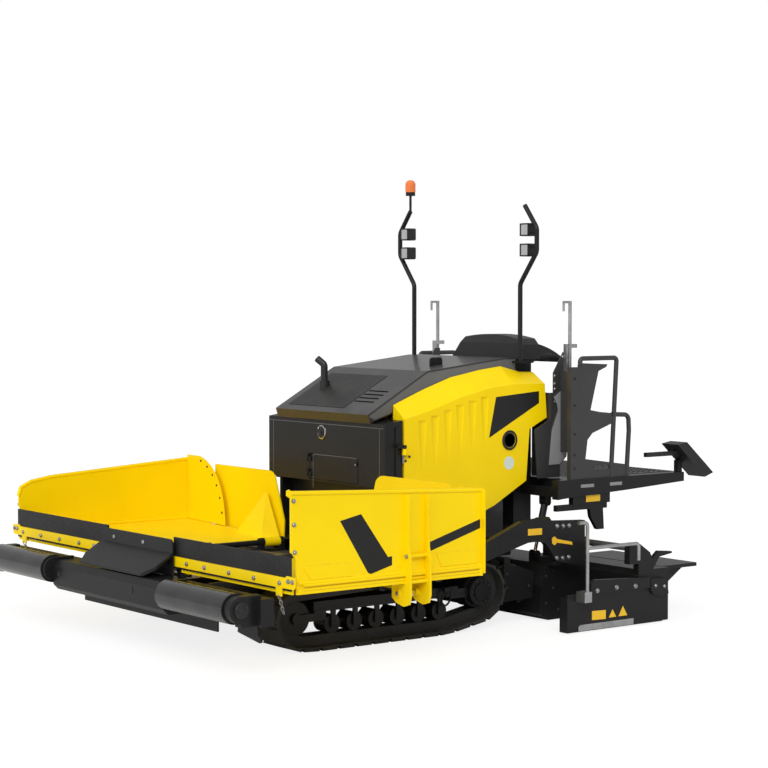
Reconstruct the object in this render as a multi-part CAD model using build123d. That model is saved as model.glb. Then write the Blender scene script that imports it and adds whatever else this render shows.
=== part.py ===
from build123d import *
import os
from math import atan2, cos, degrees, hypot, pi, radians, sin

# Compact tracked asphalt paver, millimetres. +X is the travel direction, +Y the machine's
# left, +Z up. The origin lies on the ground below the middle of the machine.

# ---- clearances ----
FIT = 0.05  # radial clearance of a pin in its bore
RUN = 6.0  # gap between a moving piece and its neighbour
SEAT = 0.3  # gap where a moving piece rests beside what carries it

# ---- crawler tracks ----
TRACK_OUT_Y = 900.0
TRACK_W = 260.0
SHOE_PITCH = 130.0
SHOE_GAP = 22.0
SHOE_T = 26.0
CHAIN_H = 62.0
IDLER_X, IDLER_Z, IDLER_R = 1275.0, 200.0, 104.0
SPROCKET_X, SPROCKET_Z, SPROCKET_R = -143.0, 248.0, 106.0
ROLLER_R = 58.0
ROLLER_COUNT = 6
ROLLER_FRONT_X = 1000.0
ROLLER_REAR_X = 163.0
BEAM_W, BEAM_H = 150.0, 64.0

# ---- main frame ----
FRAME_OUT_Y = 600.0
FRAME_T = 22.0
FRAME_BOTTOM_Z, FRAME_TOP_Z = 235.0, 430.0
FRAME_REAR_X, FRAME_FRONT_X = -330.0, 1800.0

# ---- hopper ----
HINGE_Y, HINGE_Z, HINGE_R = 430.0, 500.0, 18.0
KNUCKLE_R = 32.0
KNUCKLE_L = 120.0
WING_FRONT_X, WING_REAR_X = 1855.0, 495.0
WING_OUT_Y = 1650.0
WING_T = 12.0
WALL_BOTTOM_Z = 492.0
WALL_FOOT_Z = 546.0
STRIP_IN_Y, STRIP_OUT_Y = 398.0, 1660.0
STRIP_BOTTOM_Z, STRIP_TOP_Z, STRIP_T = 525.0, 585.0, 8.0
FLAP_T, FLAP_BOTTOM_Z, FLAP_TOP_Z = 10.0, 512.0, 700.0
CONVEYOR_HALF = 385.0

# ---- push bar ----
PIVOT_X, PIVOT_R = 1868.0, 25.0
PUSH_X, PUSH_Z, PUSH_R = 2094.0, 410.0, 88.0
PUSH_IN_Y, PUSH_OUT_Y = 706.0, 1420.0
PUSH_SHAFT_R = 22.0
BAR_REAR_X, BAR_T = 1908.0, 50.0

# ---- engine housing ----
BOX_FRONT_X, BOX_REAR_X = 463.0, 322.0
BOX_HALF = 654.0
BOX_BOTTOM_Z, BOX_TOP_Z = 926.0, 1335.0
SHEET_T = 12.0
HOOD_HALF = 520.0
HOOD_T = 20.0
DOOR_OUT_Y, DOOR_IN_Y = BOX_HALF + 8.0, HOOD_HALF + 8.0
DOOR_T = 22.0
BULKHEAD_X = -745.0
DECK_Z = 520.0

# ---- operator's platform ----
PLAT_FRONT_X, PLAT_REAR_X = -823.0, -1985.0
PLAT_HALF = 880.0
PLAT_TOP_Z, PLAT_H = 925.0, 72.0

# ---- tow arms, auger and screed ----
TOW_X, TOW_Z, TOW_PIN_R = 300.0, 420.0, 20.0
ARM_OUT_Y, ARM_T = 1000.0, 42.0
AUGER_X, AUGER_Z, AUGER_R = -500.0, 262.0, 128.0
AUGER_SHAFT_R = 26.0
AUGER_PITCH = 190.0
SCREED_FRONT_X, SCREED_REAR_X = -652.0, -1082.0
SCREED_HALF = 880.0
SCREED_Z, SCREED_TOP_Z = 8.0, 380.0
EXT_FRONT_X, EXT_REAR_X = -1096.0, -1372.0
EXT_IN_Y, EXT_OUT_Y = 470.0, 1340.0
GATE_FRONT_X, GATE_REAR_X, GATE_T, GATE_TOP_Z = -455.0, -1300.0, 20.0, 250.0
GUIDE_R, GUIDE_Z = 22.0, 505.0

os.makedirs("parts", exist_ok=True)
SIDES = (("left", 1), ("right", -1))


def save(shape, name):
    shape.label = name
    export_step(shape, f"parts/{name}.step")


def block(x0, x1, y0, y1, z0, z1):
    """A box between two corners."""
    low = (min(x0, x1), min(y0, y1), min(z0, z1))
    size = (abs(x1 - x0), abs(y1 - y0), abs(z1 - z0))
    return Pos(*low) * Box(*size, align=(Align.MIN, Align.MIN, Align.MIN))


def plate_xz(points, y0, y1):
    """A plate cut to an outline of (x, z) points, standing between two y planes."""
    face = make_face(Polyline([(x, 0, z) for x, z in points], close=True))
    return Pos(0, min(y0, y1), 0) * extrude(face, abs(y1 - y0), dir=(0, 1, 0))


def plate_yz(points, x0, x1):
    """A plate cut to an outline of (y, z) points, standing between two x planes."""
    face = make_face(Polyline([(0, y, z) for y, z in points], close=True))
    return Pos(min(x0, x1), 0, 0) * extrude(face, abs(x1 - x0), dir=(1, 0, 0))


def rod_x(x0, x1, y, z, r):
    return Pos((x0 + x1) / 2, y, z) * Rot(0, 90, 0) * Cylinder(r, abs(x1 - x0))


def rod_y(y0, y1, x, z, r):
    return Pos(x, (y0 + y1) / 2, z) * Rot(90, 0, 0) * Cylinder(r, abs(y1 - y0))


def rod_z(z0, z1, x, y, r):
    return Pos(x, y, (z0 + z1) / 2) * Cylinder(r, abs(z1 - z0))


def bent_tube(points, r, bend):
    """A round tube along straight runs joined by bends of one radius."""
    path = FilletPolyline(*points, radius=bend)
    return sweep(Plane(origin=path @ 0, z_dir=path % 0) * Circle(r), path=path)


def sided(shape, s):
    """The shape as drawn for the left side, or its mirror image on the right."""
    return shape if s > 0 else mirror(shape, about=Plane.XZ)


# ---- crawler tracks: one closed loop a side, its shoes in the outline ----
SHOE_BASE = 8.0
RAIL_T, RAIL_Y = 28.0, 44.0
TRACK_MID_Y = TRACK_OUT_Y - TRACK_W / 2
RUN_Z = CHAIN_H + SHOE_T
# The wheels that the chain bends round, anticlockwise seen from the right: x, z, radius.
BELT_WHEELS = (
    (SPROCKET_X, SPROCKET_Z, SPROCKET_R),
    (ROLLER_REAR_X - 14, RUN_Z, 0.0),
    (ROLLER_FRONT_X + 190, RUN_Z, 0.0),
    (IDLER_X, IDLER_Z, IDLER_R),
)


def belt_normals():
    """The outward normal's angle on each straight run between two wheels."""
    angles = []
    for i, (x, z, r) in enumerate(BELT_WHEELS):
        x2, z2, r2 = BELT_WHEELS[(i + 1) % len(BELT_WHEELS)]
        turn = atan2(z2 - z, x2 - x) - radians(degrees_acos((r - r2) / hypot(x2 - x, z2 - z)))
        angles.append(turn)
    return angles


def degrees_acos(value):
    return degrees(atan2((1 - value * value) ** 0.5, value))


def belt_legs(offset):
    """Arc and straight legs of the loop, that far outside the wheels."""
    normals = belt_normals()
    legs = []
    for i, (x, z, r) in enumerate(BELT_WHEELS):
        before, after = normals[i - 1], normals[i]
        while after < before:
            after += 2 * pi
        legs.append(("arc", x, z, r + offset, before, after))
        x2, z2, r2 = BELT_WHEELS[(i + 1) % len(BELT_WHEELS)]
        a = (x + (r + offset) * cos(after), z + (r + offset) * sin(after))
        b = (x2 + (r2 + offset) * cos(after), z2 + (r2 + offset) * sin(after))
        legs.append(("line", a, b, after))
    return legs


def belt_face(offset):
    edges = []
    for leg in belt_legs(offset):
        if leg[0] == "line":
            edges.append(Line((leg[1][0], 0, leg[1][1]), (leg[2][0], 0, leg[2][1])))
        elif leg[3] > 0 and leg[5] - leg[4] > 1e-6:
            _, x, z, r, start, end = leg
            trio = [(x + r * cos(t), 0, z + r * sin(t)) for t in (start, (start + end) / 2, end)]
            edges.append(ThreePointArc(*trio))
    return make_face(edges)


def belt_solid(offset, y0, y1):
    return Pos(0, y0, 0) * extrude(belt_face(offset), y1 - y0, dir=(0, 1, 0))


def belt_point(offset, s):
    """Point and outward normal at a length along the loop."""
    for leg in belt_legs(offset):
        if leg[0] == "arc":
            _, x, z, r, start, end = leg
            length = r * (end - start)
            if s <= length:
                t = start + s / r
                return x + r * cos(t), z + r * sin(t), t
        else:
            (xa, za), (xb, zb), t = leg[1], leg[2], leg[3]
            length = hypot(xb - xa, zb - za)
            if s <= length:
                return xa + (xb - xa) * s / length, za + (zb - za) * s / length, t
        s -= length
    return belt_point(offset, 0.0)


def belt_length(offset):
    total = 0.0
    for leg in belt_legs(offset):
        if leg[0] == "arc":
            total += leg[3] * (leg[5] - leg[4])
        else:
            total += hypot(leg[2][0] - leg[1][0], leg[2][1] - leg[1][1])
    return total


def shoe_outline():
    """Outline of the shoes all round: each a flat pad, with an open gap to the next."""
    base = CHAIN_H + SHOE_BASE
    length = belt_length(base)
    count = round(length / SHOE_PITCH)
    pitch = length / count
    points = []
    for k in range(count):
        x0, z0, _ = belt_point(base, k * pitch + SHOE_GAP / 2)
        x1, z1, _ = belt_point(base, (k + 1) * pitch - SHOE_GAP / 2)
        t = atan2(z1 - z0, x1 - x0) - pi / 2
        rise = SHOE_T - SHOE_BASE
        for x, z, h in ((x0, z0, 0), (x0, z0, rise), (x1, z1, rise), (x1, z1, 0)):
            points.append((x + h * cos(t), z + h * sin(t)))
    return points


def track_loop():
    y0, y1 = TRACK_OUT_Y - TRACK_W, TRACK_OUT_Y
    loop = plate_xz(shoe_outline(), y0, y1) - belt_solid(CHAIN_H, y0, y1)
    for side in (-1, 1):
        rail = TRACK_MID_Y + side * RAIL_Y
        outer = belt_solid(CHAIN_H + SHOE_BASE / 2, rail - RAIL_T / 2, rail + RAIL_T / 2)
        loop += outer - belt_solid(0, rail - RAIL_T / 2, rail + RAIL_T / 2)
    return loop


# ---- track frames: beam, rollers, front idler and final drive, held on the main frame ----
ROLLER_HALF = RAIL_Y + RAIL_T / 2 + 2
ROLLER_Z = RUN_Z + ROLLER_R + SEAT
BEAM_Z = ROLLER_Z + ROLLER_R + 26
BEAM_REAR_X, BEAM_FRONT_X = 20.0, 1150.0
DRIVE_R = 90.0


def track_frame():
    mid = TRACK_MID_Y
    half = BEAM_W / 2
    frame = block(BEAM_REAR_X, BEAM_FRONT_X, mid - half, mid + half, BEAM_Z, BEAM_Z + BEAM_H)
    step = (ROLLER_FRONT_X - ROLLER_REAR_X) / (ROLLER_COUNT - 1)
    for k in range(ROLLER_COUNT):
        x = ROLLER_REAR_X + k * step
        frame += rod_y(mid - ROLLER_HALF, mid + ROLLER_HALF, x, ROLLER_Z, ROLLER_R)
        frame += rod_y(mid - half, mid + half, x, ROLLER_Z, 20)
        for side in (-1, 1):
            y = mid + side * (half - 7)
            frame += block(x - 17, x + 17, y - 7, y + 7, ROLLER_Z - 20, BEAM_Z)
    frame += rod_y(mid - ROLLER_HALF, mid + ROLLER_HALF, IDLER_X, IDLER_Z, IDLER_R - SEAT)
    frame += rod_y(mid - half, mid + half, IDLER_X, IDLER_Z, 22)
    frame += rod_y(mid - ROLLER_HALF, mid + ROLLER_HALF, SPROCKET_X, SPROCKET_Z, SPROCKET_R - SEAT)
    for side in (-1, 1):
        y = mid + side * (half - 4)
        frame += block(BEAM_FRONT_X - 60, IDLER_X, y - 8, y + 8, IDLER_Z - 24, IDLER_Z + 24)
        frame += block(BEAM_FRONT_X - 90, BEAM_FRONT_X, y - 8, y + 8, IDLER_Z - 24, BEAM_Z + 10)
        frame += rod_y(y - 8, y + 8, IDLER_X, IDLER_Z, 34)
        frame += block(SPROCKET_X, BEAM_REAR_X + 60, y - 8, y + 8, SPROCKET_Z - 30, SPROCKET_Z + 30)
    frame += rod_y(mid, mid + 108, SPROCKET_X, SPROCKET_Z, DRIVE_R)
    frame += rod_y(mid + 108, mid + 118, SPROCKET_X, SPROCKET_Z, DRIVE_R - 34)
    frame += rod_y(FRAME_OUT_Y, mid, SPROCKET_X, SPROCKET_Z, 70)
    for x in (260.0, 860.0):
        frame += block(x, x + 150, FRAME_OUT_Y, mid, BEAM_Z + 6, BEAM_Z + BEAM_H - 6)
    return frame


for name, s in SIDES:
    save(sided(track_loop(), s), f"track_{name}")
    save(sided(track_frame(), s), f"track_frame_{name}")

# ---- main frame: side plates, cross members, deck, wing hinges and the push bar's ears ----
KNUCKLE_X = (WING_REAR_X + 105, (WING_REAR_X + WING_FRONT_X) / 2, WING_FRONT_X - 105)
LUG_T = 30.0
LUG_GAP = 5.0
DECK_T = 12.0
TAIL_X, TAIL_Z = -800.0, 420.0
RISER_X, SHELF_Z = -620.0, DECK_Z + 80.0
EAR_HALF = 62.0
EAR_T = 30.0
EAR_ZS = (268.0, 400.0)
NOSE_HALF, NOSE_BOTTOM_Z, NOSE_TOP_Z = 800.0, 172.0, 330.0


def hinge_rail():
    """Rail, lugs and shaft that one wing swings on."""
    rail_top = HINGE_Z - KNUCKLE_R - RUN - 14
    rail = block(WING_REAR_X + 5, FRAME_FRONT_X, HINGE_Y - 30, HINGE_Y + 30, FRAME_TOP_Z, rail_top)
    reach = KNUCKLE_L / 2 + LUG_GAP
    for x in KNUCKLE_X:
        for x0 in (x - reach - LUG_T, x + reach):
            rail += block(x0, x0 + LUG_T, HINGE_Y - 22, HINGE_Y + 22, rail_top, HINGE_Z)
            rail += rod_x(x0, x0 + LUG_T, HINGE_Y, HINGE_Z, KNUCKLE_R - 2)
    shaft_ends = (KNUCKLE_X[0] - reach - LUG_T, KNUCKLE_X[-1] + reach + LUG_T)
    return rail + rod_x(*shaft_ends, HINGE_Y, HINGE_Z, HINGE_R)


def main_frame():
    outline = (
        (FRAME_FRONT_X, FRAME_BOTTOM_Z),
        (FRAME_FRONT_X, FRAME_TOP_Z),
        (BOX_FRONT_X, FRAME_TOP_Z),
        (BOX_FRONT_X, DECK_Z - DECK_T),
        (RISER_X, DECK_Z - DECK_T),
        (RISER_X, SHELF_Z - DECK_T),
        (TAIL_X, SHELF_Z - DECK_T),
        (TAIL_X, SHELF_Z - 40),
        (RISER_X - 36, SHELF_Z - 40),
        (RISER_X - DECK_T, TAIL_Z),
        (FRAME_REAR_X - 10, TAIL_Z),
        (FRAME_REAR_X, FRAME_BOTTOM_Z),
    )
    frame = Part()
    for s in (1, -1):
        frame += sided(plate_xz(outline, FRAME_OUT_Y - FRAME_T, FRAME_OUT_Y), s)
    inner = FRAME_OUT_Y - FRAME_T
    for x in (FRAME_REAR_X, 260.0, 860.0, FRAME_FRONT_X - FRAME_T):
        frame += block(x, x + FRAME_T, -inner, inner, FRAME_BOTTOM_Z, FRAME_TOP_Z)
    for z in EAR_ZS:
        ear = block(FRAME_FRONT_X, PIVOT_X, -EAR_HALF, EAR_HALF, z, z + EAR_T)
        ear += rod_z(z, z + EAR_T, PIVOT_X, 0, 30)
        frame += ear - rod_z(z, z + EAR_T, PIVOT_X, 0, PIVOT_R + FIT)
    nose_x = FRAME_FRONT_X + DECK_T
    return frame + block(FRAME_FRONT_X, nose_x, -NOSE_HALF, NOSE_HALF, NOSE_BOTTOM_Z, NOSE_TOP_Z)


def frame_deck():
    """Plate on top of the frame, stepped up at the rear so that the screed can rise under it."""
    inner = FRAME_OUT_Y - FRAME_T
    deck = block(RISER_X, BOX_FRONT_X, -FRAME_OUT_Y, FRAME_OUT_Y, DECK_Z - DECK_T, DECK_Z)
    deck += block(RISER_X - DECK_T, RISER_X, -inner, inner, TAIL_Z, SHELF_Z)
    deck += block(TAIL_X, RISER_X, -FRAME_OUT_Y, FRAME_OUT_Y, SHELF_Z - DECK_T, SHELF_Z)
    return deck + block(TAIL_X, TAIL_X + FRAME_T, -inner, inner, SHELF_Z - 40, SHELF_Z)


save(Compound([sided(hinge_rail(), s) for _, s in SIDES]), "hinge_rails")


# ---- conveyor: two slat lanes on a floor plate, with a cover over the drive chains ----
SLAT_PITCH = 165.0
SLAT_W, SLAT_H = 34.0, 18.0
COVER_HALF = 26.0


def conveyor():
    floor_z = FRAME_TOP_Z
    rear, front = BOX_FRONT_X + 8, FRAME_FRONT_X - 4
    belt = block(rear, front, -CONVEYOR_HALF, CONVEYOR_HALF, floor_z, floor_z + 10)
    belt += block(rear + 190, front, -COVER_HALF, COVER_HALF, floor_z + 10, floor_z + 44)
    count = int((front - rear - 220) / SLAT_PITCH)
    for k in range(count + 1):
        x = front - 40 - k * SLAT_PITCH
        for s in (1, -1):
            y0, y1 = s * COVER_HALF, s * (CONVEYOR_HALF - 12)
            belt += block(x - SLAT_W, x, y0, y1, floor_z + 10, floor_z + 10 + SLAT_H)
    return belt


save(conveyor(), "conveyor")

# ---- hopper pieces fixed to the frame ----
REAR_SHEET_T = 10.0
REAR_SHEET_OUT_Y = 1325.0
REAR_SHEET_FOOT_Z = FRAME_TOP_Z + 30.0
REAR_SHEET_TOP_Z = {"left": 1011.0, "right": 958.0}


def hopper_rear(name):
    """Upright sheet beside the conveyor's mouth, cut back along its leaning inner edge."""
    top = REAR_SHEET_TOP_Z[name]
    mouth = CONVEYOR_HALF + 88
    corner = BOX_HALF + 4
    edges = (
        Line((0, mouth, REAR_SHEET_FOOT_Z), (0, REAR_SHEET_OUT_Y, REAR_SHEET_FOOT_Z)),
        Line((0, REAR_SHEET_OUT_Y, REAR_SHEET_FOOT_Z), (0, REAR_SHEET_OUT_Y, top)),
        Line((0, REAR_SHEET_OUT_Y, top), (0, corner, top)),
        ThreePointArc((0, corner, top), (0, corner - 56, top - 12), (0, corner - 88, top - 40)),
        Line((0, corner - 88, top - 40), (0, mouth - 12, FRAME_TOP_Z + 198)),
        Line((0, mouth - 12, FRAME_TOP_Z + 198), (0, mouth, REAR_SHEET_FOOT_Z)),
    )
    return Pos(BOX_FRONT_X, 0, 0) * extrude(make_face(edges), REAR_SHEET_T, dir=(1, 0, 0))


save(Compound([sided(hopper_rear(name), s) for name, s in SIDES]), "hopper_rear_sheet")

CENTRE_HALF = 430.0
CENTRE_X, CENTRE_T = 1882.0, 10.0
CENTRE_TOP_Z, CENTRE_BOTTOM_Z = 688.0, 468.0
BAR_BOTTOM_Z, BAR_TOP_Z = 312.0, 468.0


def centre_apron():
    """Bent front plate between the two wings, its lip lying over the push bar, on two arms."""
    lip_x, lip_z = PUSH_X - 14, BAR_TOP_Z + 10
    plate = block(CENTRE_X, CENTRE_X + CENTRE_T, -CENTRE_HALF, CENTRE_HALF, CENTRE_BOTTOM_Z, CENTRE_TOP_Z)
    top_edges = plate.edges().filter_by(Axis.X).sort_by(Axis.Z)[-2:]
    plate = fillet(top_edges, 38)
    lip = (
        (CENTRE_X + CENTRE_T, 606),
        (lip_x, lip_z + 14),
        (lip_x, lip_z),
        (lip_x - 12, lip_z),
        (CENTRE_X + CENTRE_T, 588),
    )
    taper = (
        (CENTRE_X, -CENTRE_HALF),
        (lip_x - 70, -CENTRE_HALF),
        (lip_x, -CENTRE_HALF + 60),
        (lip_x, CENTRE_HALF - 60),
        (lip_x - 70, CENTRE_HALF),
        (CENTRE_X, CENTRE_HALF),
    )
    plan = make_face(Polyline([(x, y, lip_z) for x, y in taper], close=True))
    plate += plate_xz(lip, -CENTRE_HALF, CENTRE_HALF) & extrude(plan, 200, dir=(0, 0, 1))
    for s in (1, -1):
        arm = ((FRAME_FRONT_X, 380), (FRAME_FRONT_X, 430), (CENTRE_X, 560), (CENTRE_X, 480), (1826, 380))
        plate += plate_xz(arm, s * 280, s * 300)
    return plate


save(centre_apron(), "centre_apron")


# ---- hopper wings: sloped floor, outer wall, rear corner, front strip and rubber flap ----
CLEVIS_X, CLEVIS_GAP, CLEVIS_T = 1000.0, 132.0, 12.0
CLEVIS_PIN_Y, CLEVIS_PIN_Z, CLEVIS_PIN_R = 1590.0, 428.0, 14.0
PIN_HALF = 36.0
WING_EDGE_Y = HINGE_Y + KNUCKLE_R + RUN + 4
CORNER_IN_Y = 1340.0
APRON_T = 12.0
# Top edge of each side's wall from front to rear: x, z. The right one has a cut-down nose.
WALL_TOP = {
    "left": ((WING_FRONT_X + 16, 1072.0), (WING_REAR_X, 1011.0)),
    "right": ((WING_FRONT_X, 800.0), (1836.0, 858.0), (1760.0, 893.0), (1611.0, 917.0), (WING_REAR_X, 990.0)),
}
ROLL_R = 13.0
RIB_OUT_Y = WING_OUT_Y + 40.0
APRON_IN_Y = 470.0
# Pressed pockets low on the wall, where the sheet kicks out over the side rail: x of its four corners.
POCKETS = ((1797.0, 1736.0, 1453.0, 1467.0), (845.0, 808.0, 526.0, 526.0))
POCKET_TOP_Z, POCKET_FOOT_Z = 650.0, 568.0


def wall_top_z(name, x):
    """Height of the wall's top edge at a distance along the machine."""
    edge = WALL_TOP[name]
    for (xa, za), (xb, zb) in zip(edge, edge[1:]):
        if xb <= x <= xa:
            return za + (zb - za) * (x - xa) / (xb - xa)
    return edge[0][1]


def wing_floor_z(y):
    """Top of the sloped floor at a distance from the middle."""
    rise = (WALL_FOOT_Z - HINGE_Z - 14) / (WING_OUT_Y - WING_EDGE_Y)
    return HINGE_Z + 14 + rise * (y - WING_EDGE_Y)


def wing_wall(name):
    """Outer wall with its rolled top edge, front notch, foot rail, ribs and pressed pockets."""
    y_out, y_in = WING_OUT_Y, WING_OUT_Y - WING_T
    front = ((WING_FRONT_X - 24, WALL_BOTTOM_Z), (WING_FRONT_X - 18, 688), (WING_FRONT_X, 718))
    if name == "left":
        nose = WING_FRONT_X + 16
        front += ((nose, 730), (nose, 1030), (nose + 24, 1046), (nose + 24, 1074), (nose + 8, 1080))
    top = WALL_TOP[name]
    wall = plate_xz(((WING_REAR_X, WALL_BOTTOM_Z), *front, *top), y_in, y_out)
    for (xa, za), (xb, zb) in zip(top, top[1:]):
        length = hypot(xb - xa, zb - za)
        roll = Pos(0, 0, length / 2) * Cylinder(ROLL_R, length)
        lean = degrees(atan2(xb - xa, zb - za))
        wall += Pos(xa, y_in + 8, za - ROLL_R) * Rot(0, lean, 0) * roll
    wall += rod_x(WING_REAR_X, WING_FRONT_X - 30, y_out - 2, WALL_FOOT_Z + 8, ROLL_R)
    wall += block(WING_REAR_X, WING_FRONT_X - 30, y_in, y_out + 6, WALL_BOTTOM_Z, WALL_BOTTOM_Z + 34)
    wall += block(WING_REAR_X, WING_REAR_X + 10, y_out, RIB_OUT_Y - 8, WALL_BOTTOM_Z + 16, top[-1][1] - 8)
    wall += rod_z(WALL_BOTTOM_Z, WALL_BOTTOM_Z + 70, WING_REAR_X + 14, y_out + 4, 14)
    for x0, x1, x2, x3 in POCKETS:
        corners = ((x0, POCKET_TOP_Z), (x1, POCKET_FOOT_Z), (x2, POCKET_FOOT_Z), (x3, POCKET_TOP_Z - 4))
        wall += plate_xz(corners, y_out, y_out + 5)
    return wall


def wing_lugs(name):
    """Two ribbed plates below the wall that hold the cylinder's rod eye, tied by spacers."""
    y_in = WING_OUT_Y - WING_T
    lugs = Part()
    for side in (-1, 1):
        x = CLEVIS_X + side * (CLEVIS_GAP / 2 + CLEVIS_T / 2)
        rib_top = wall_top_z(name, x) - 2 * ROLL_R - 4
        outline = (
            (1530, 536),
            (1530, 400),
            (1570, 372),
            (1640, 356),
            (1692, 372),
            (1706, 420),
            (1706, 620),
            (RIB_OUT_Y, 700),
            (RIB_OUT_Y, rib_top),
            (y_in + 2, rib_top),
            (y_in + 2, WALL_BOTTOM_Z + 20),
        )
        lugs += plate_yz(outline, x - CLEVIS_T / 2, x + CLEVIS_T / 2)
        ends = sorted((CLEVIS_X + side * (PIN_HALF + 5), x + side * (CLEVIS_T / 2 + 8)))
        lugs += rod_x(*ends, CLEVIS_PIN_Y, CLEVIS_PIN_Z, CLEVIS_PIN_R + 8)
    for y, z in ((RIB_OUT_Y - 18, 650.0), (RIB_OUT_Y - 16, 500.0)):
        lugs += rod_x(CLEVIS_X - CLEVIS_GAP / 2, CLEVIS_X + CLEVIS_GAP / 2, y, z, 11)
    return lugs


def wing_filler():
    """Folded filler that leads the mix off the rear corner towards the conveyor."""
    z = wing_floor_z(WING_EDGE_Y) - 6
    x0 = WING_REAR_X
    base = ((x0, 478), (x0 + 130, 520), (x0 + 130, 850), (x0, 910))
    tip = ((x0, 628), (x0 + 6, 630), (x0 + 6, 652), (x0, 654))
    faces = []
    for ring, level in ((base, z), (tip, 804)):
        faces.append(make_face(Polyline([(x, y, level) for x, y in ring], close=True)))
    return loft(faces, ruled=True)


def wing(name):
    y_in = WING_OUT_Y - WING_T
    floor = (
        (WING_EDGE_Y, wing_floor_z(WING_EDGE_Y)),
        (y_in, wing_floor_z(y_in)),
        (y_in, wing_floor_z(y_in) - WING_T),
        (WING_EDGE_Y, wing_floor_z(WING_EDGE_Y) - WING_T),
    )
    piece = wing_wall(name) + plate_yz(floor, WING_REAR_X, WING_FRONT_X)
    rear_top = WALL_TOP[name][-1][1]
    bow = (CORNER_IN_Y + y_in) / 2 - 60, (wing_floor_z(CORNER_IN_Y) + rear_top) / 2 + 30
    foot = wing_floor_z(CORNER_IN_Y)
    edges = (
        ThreePointArc((0, CORNER_IN_Y, foot), (0, *bow), (0, y_in, rear_top)),
        Line((0, y_in, rear_top), (0, y_in, wing_floor_z(y_in) - 1)),
        Line((0, y_in, wing_floor_z(y_in) - 1), (0, CORNER_IN_Y, foot)),
    )
    piece += Pos(WING_REAR_X, 0, 0) * extrude(make_face(edges), WING_T, dir=(1, 0, 0))
    low, high = WALL_BOTTOM_Z, STRIP_TOP_Z - 8
    apron = ((APRON_IN_Y, low), (y_in, low), (y_in, high), (APRON_IN_Y, high))
    piece += plate_yz(apron, WING_FRONT_X - APRON_T, WING_FRONT_X)
    for x in KNUCKLE_X:
        x0, x1 = x - KNUCKLE_L / 2, x + KNUCKLE_L / 2
        piece += rod_x(x0, x1, HINGE_Y, HINGE_Z, KNUCKLE_R)
        floor_z = wing_floor_z(WING_EDGE_Y)
        piece += block(x0, x1, HINGE_Y, WING_EDGE_Y + 20, floor_z - WING_T, floor_z)
    piece -= rod_x(WING_REAR_X, WING_FRONT_X, HINGE_Y, HINGE_Z, HINGE_R + FIT)
    return piece + wing_filler() + wing_lugs(name)


def wing_strip():
    """Clamping strip across the flap, with a raised ear outside and a lug for the chain."""
    x0 = WING_FRONT_X + FLAP_T
    outline = (
        (STRIP_IN_Y, STRIP_BOTTOM_Z),
        (STRIP_OUT_Y - 160, STRIP_BOTTOM_Z),
        (STRIP_OUT_Y - 156, STRIP_BOTTOM_Z - 48),
        (STRIP_OUT_Y - 104, STRIP_BOTTOM_Z - 48),
        (STRIP_OUT_Y - 100, STRIP_BOTTOM_Z),
        (STRIP_OUT_Y + 18, STRIP_BOTTOM_Z + 2),
        (STRIP_OUT_Y + 28, STRIP_BOTTOM_Z + 18),
        (STRIP_OUT_Y + 28, STRIP_TOP_Z + 8),
        (STRIP_OUT_Y - 50, STRIP_TOP_Z + 12),
        (STRIP_OUT_Y - 66, STRIP_TOP_Z),
        (STRIP_IN_Y, STRIP_TOP_Z),
    )
    return plate_yz(outline, x0, x0 + STRIP_T)


def wing_flap():
    x0 = WING_FRONT_X
    return block(x0, x0 + FLAP_T, STRIP_IN_Y, WING_OUT_Y - WING_T - 2, FLAP_BOTTOM_Z, FLAP_TOP_Z)


for name, s in SIDES:
    save(sided(Compound([wing(name), wing_strip()]), s), f"hopper_wing_{name}")
    save(sided(wing_flap(), s), f"wing_flap_{name}")

# ---- wing cylinders: barrel on the main frame, rod eye on the wing's clevis pin ----
BASE_Y, BASE_Z, BASE_PIN_R = 624.0, 446.0, 14.0
BARREL_R, BARREL_L, ROD_R = 27.0, 720.0, 13.0
EYE_R, EYE_T = 24.0, 46.0


def cylinder_axis():
    span = hypot(CLEVIS_PIN_Y - BASE_Y, CLEVIS_PIN_Z - BASE_Z)
    tilt = degrees(atan2(CLEVIS_PIN_Z - BASE_Z, CLEVIS_PIN_Y - BASE_Y))
    return span, tilt


def in_cylinder(shape):
    """Places a piece drawn along +Y from the base pin onto the cylinder's axis."""
    _, tilt = cylinder_axis()
    return Pos(CLEVIS_X, BASE_Y, BASE_Z) * Rot(tilt, 0, 0) * shape


def wing_barrel():
    shell = rod_y(EYE_R - 2, BARREL_L, 0, 0, BARREL_R) + rod_x(-EYE_T / 2, EYE_T / 2, 0, 0, EYE_R)
    shell -= rod_y(EYE_R + 20, BARREL_L + 1, 0, 0, ROD_R + FIT)
    return in_cylinder(shell - rod_x(-EYE_T, EYE_T, 0, 0, BASE_PIN_R + FIT))


def wing_rod():
    span, _ = cylinder_axis()
    inside = 300.0
    rod = rod_y(BARREL_L - inside, span - EYE_R + 4, 0, 0, ROD_R)
    rod += rod_x(-EYE_T / 2, EYE_T / 2, span, 0, EYE_R)
    return in_cylinder(rod + rod_x(-PIN_HALF, PIN_HALF, span, 0, CLEVIS_PIN_R))


def base_bracket():
    bracket = Part()
    reach = EYE_T / 2 + RUN
    for side in (-1, 1):
        x0 = CLEVIS_X + side * reach
        x1 = x0 + side * 14
        bracket += block(x0, x1, FRAME_OUT_Y, BASE_Y, BASE_Z - 24, BASE_Z + 24)
        bracket += rod_x(x0, x1, BASE_Y, BASE_Z, 24)
    reach += 14
    bracket += rod_x(CLEVIS_X - reach, CLEVIS_X + reach, BASE_Y, BASE_Z, BASE_PIN_R)
    pad = block(CLEVIS_X - reach, CLEVIS_X + reach, FRAME_OUT_Y - FRAME_T, FRAME_OUT_Y, FRAME_TOP_Z, BASE_Z + 24)
    return bracket + pad


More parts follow.
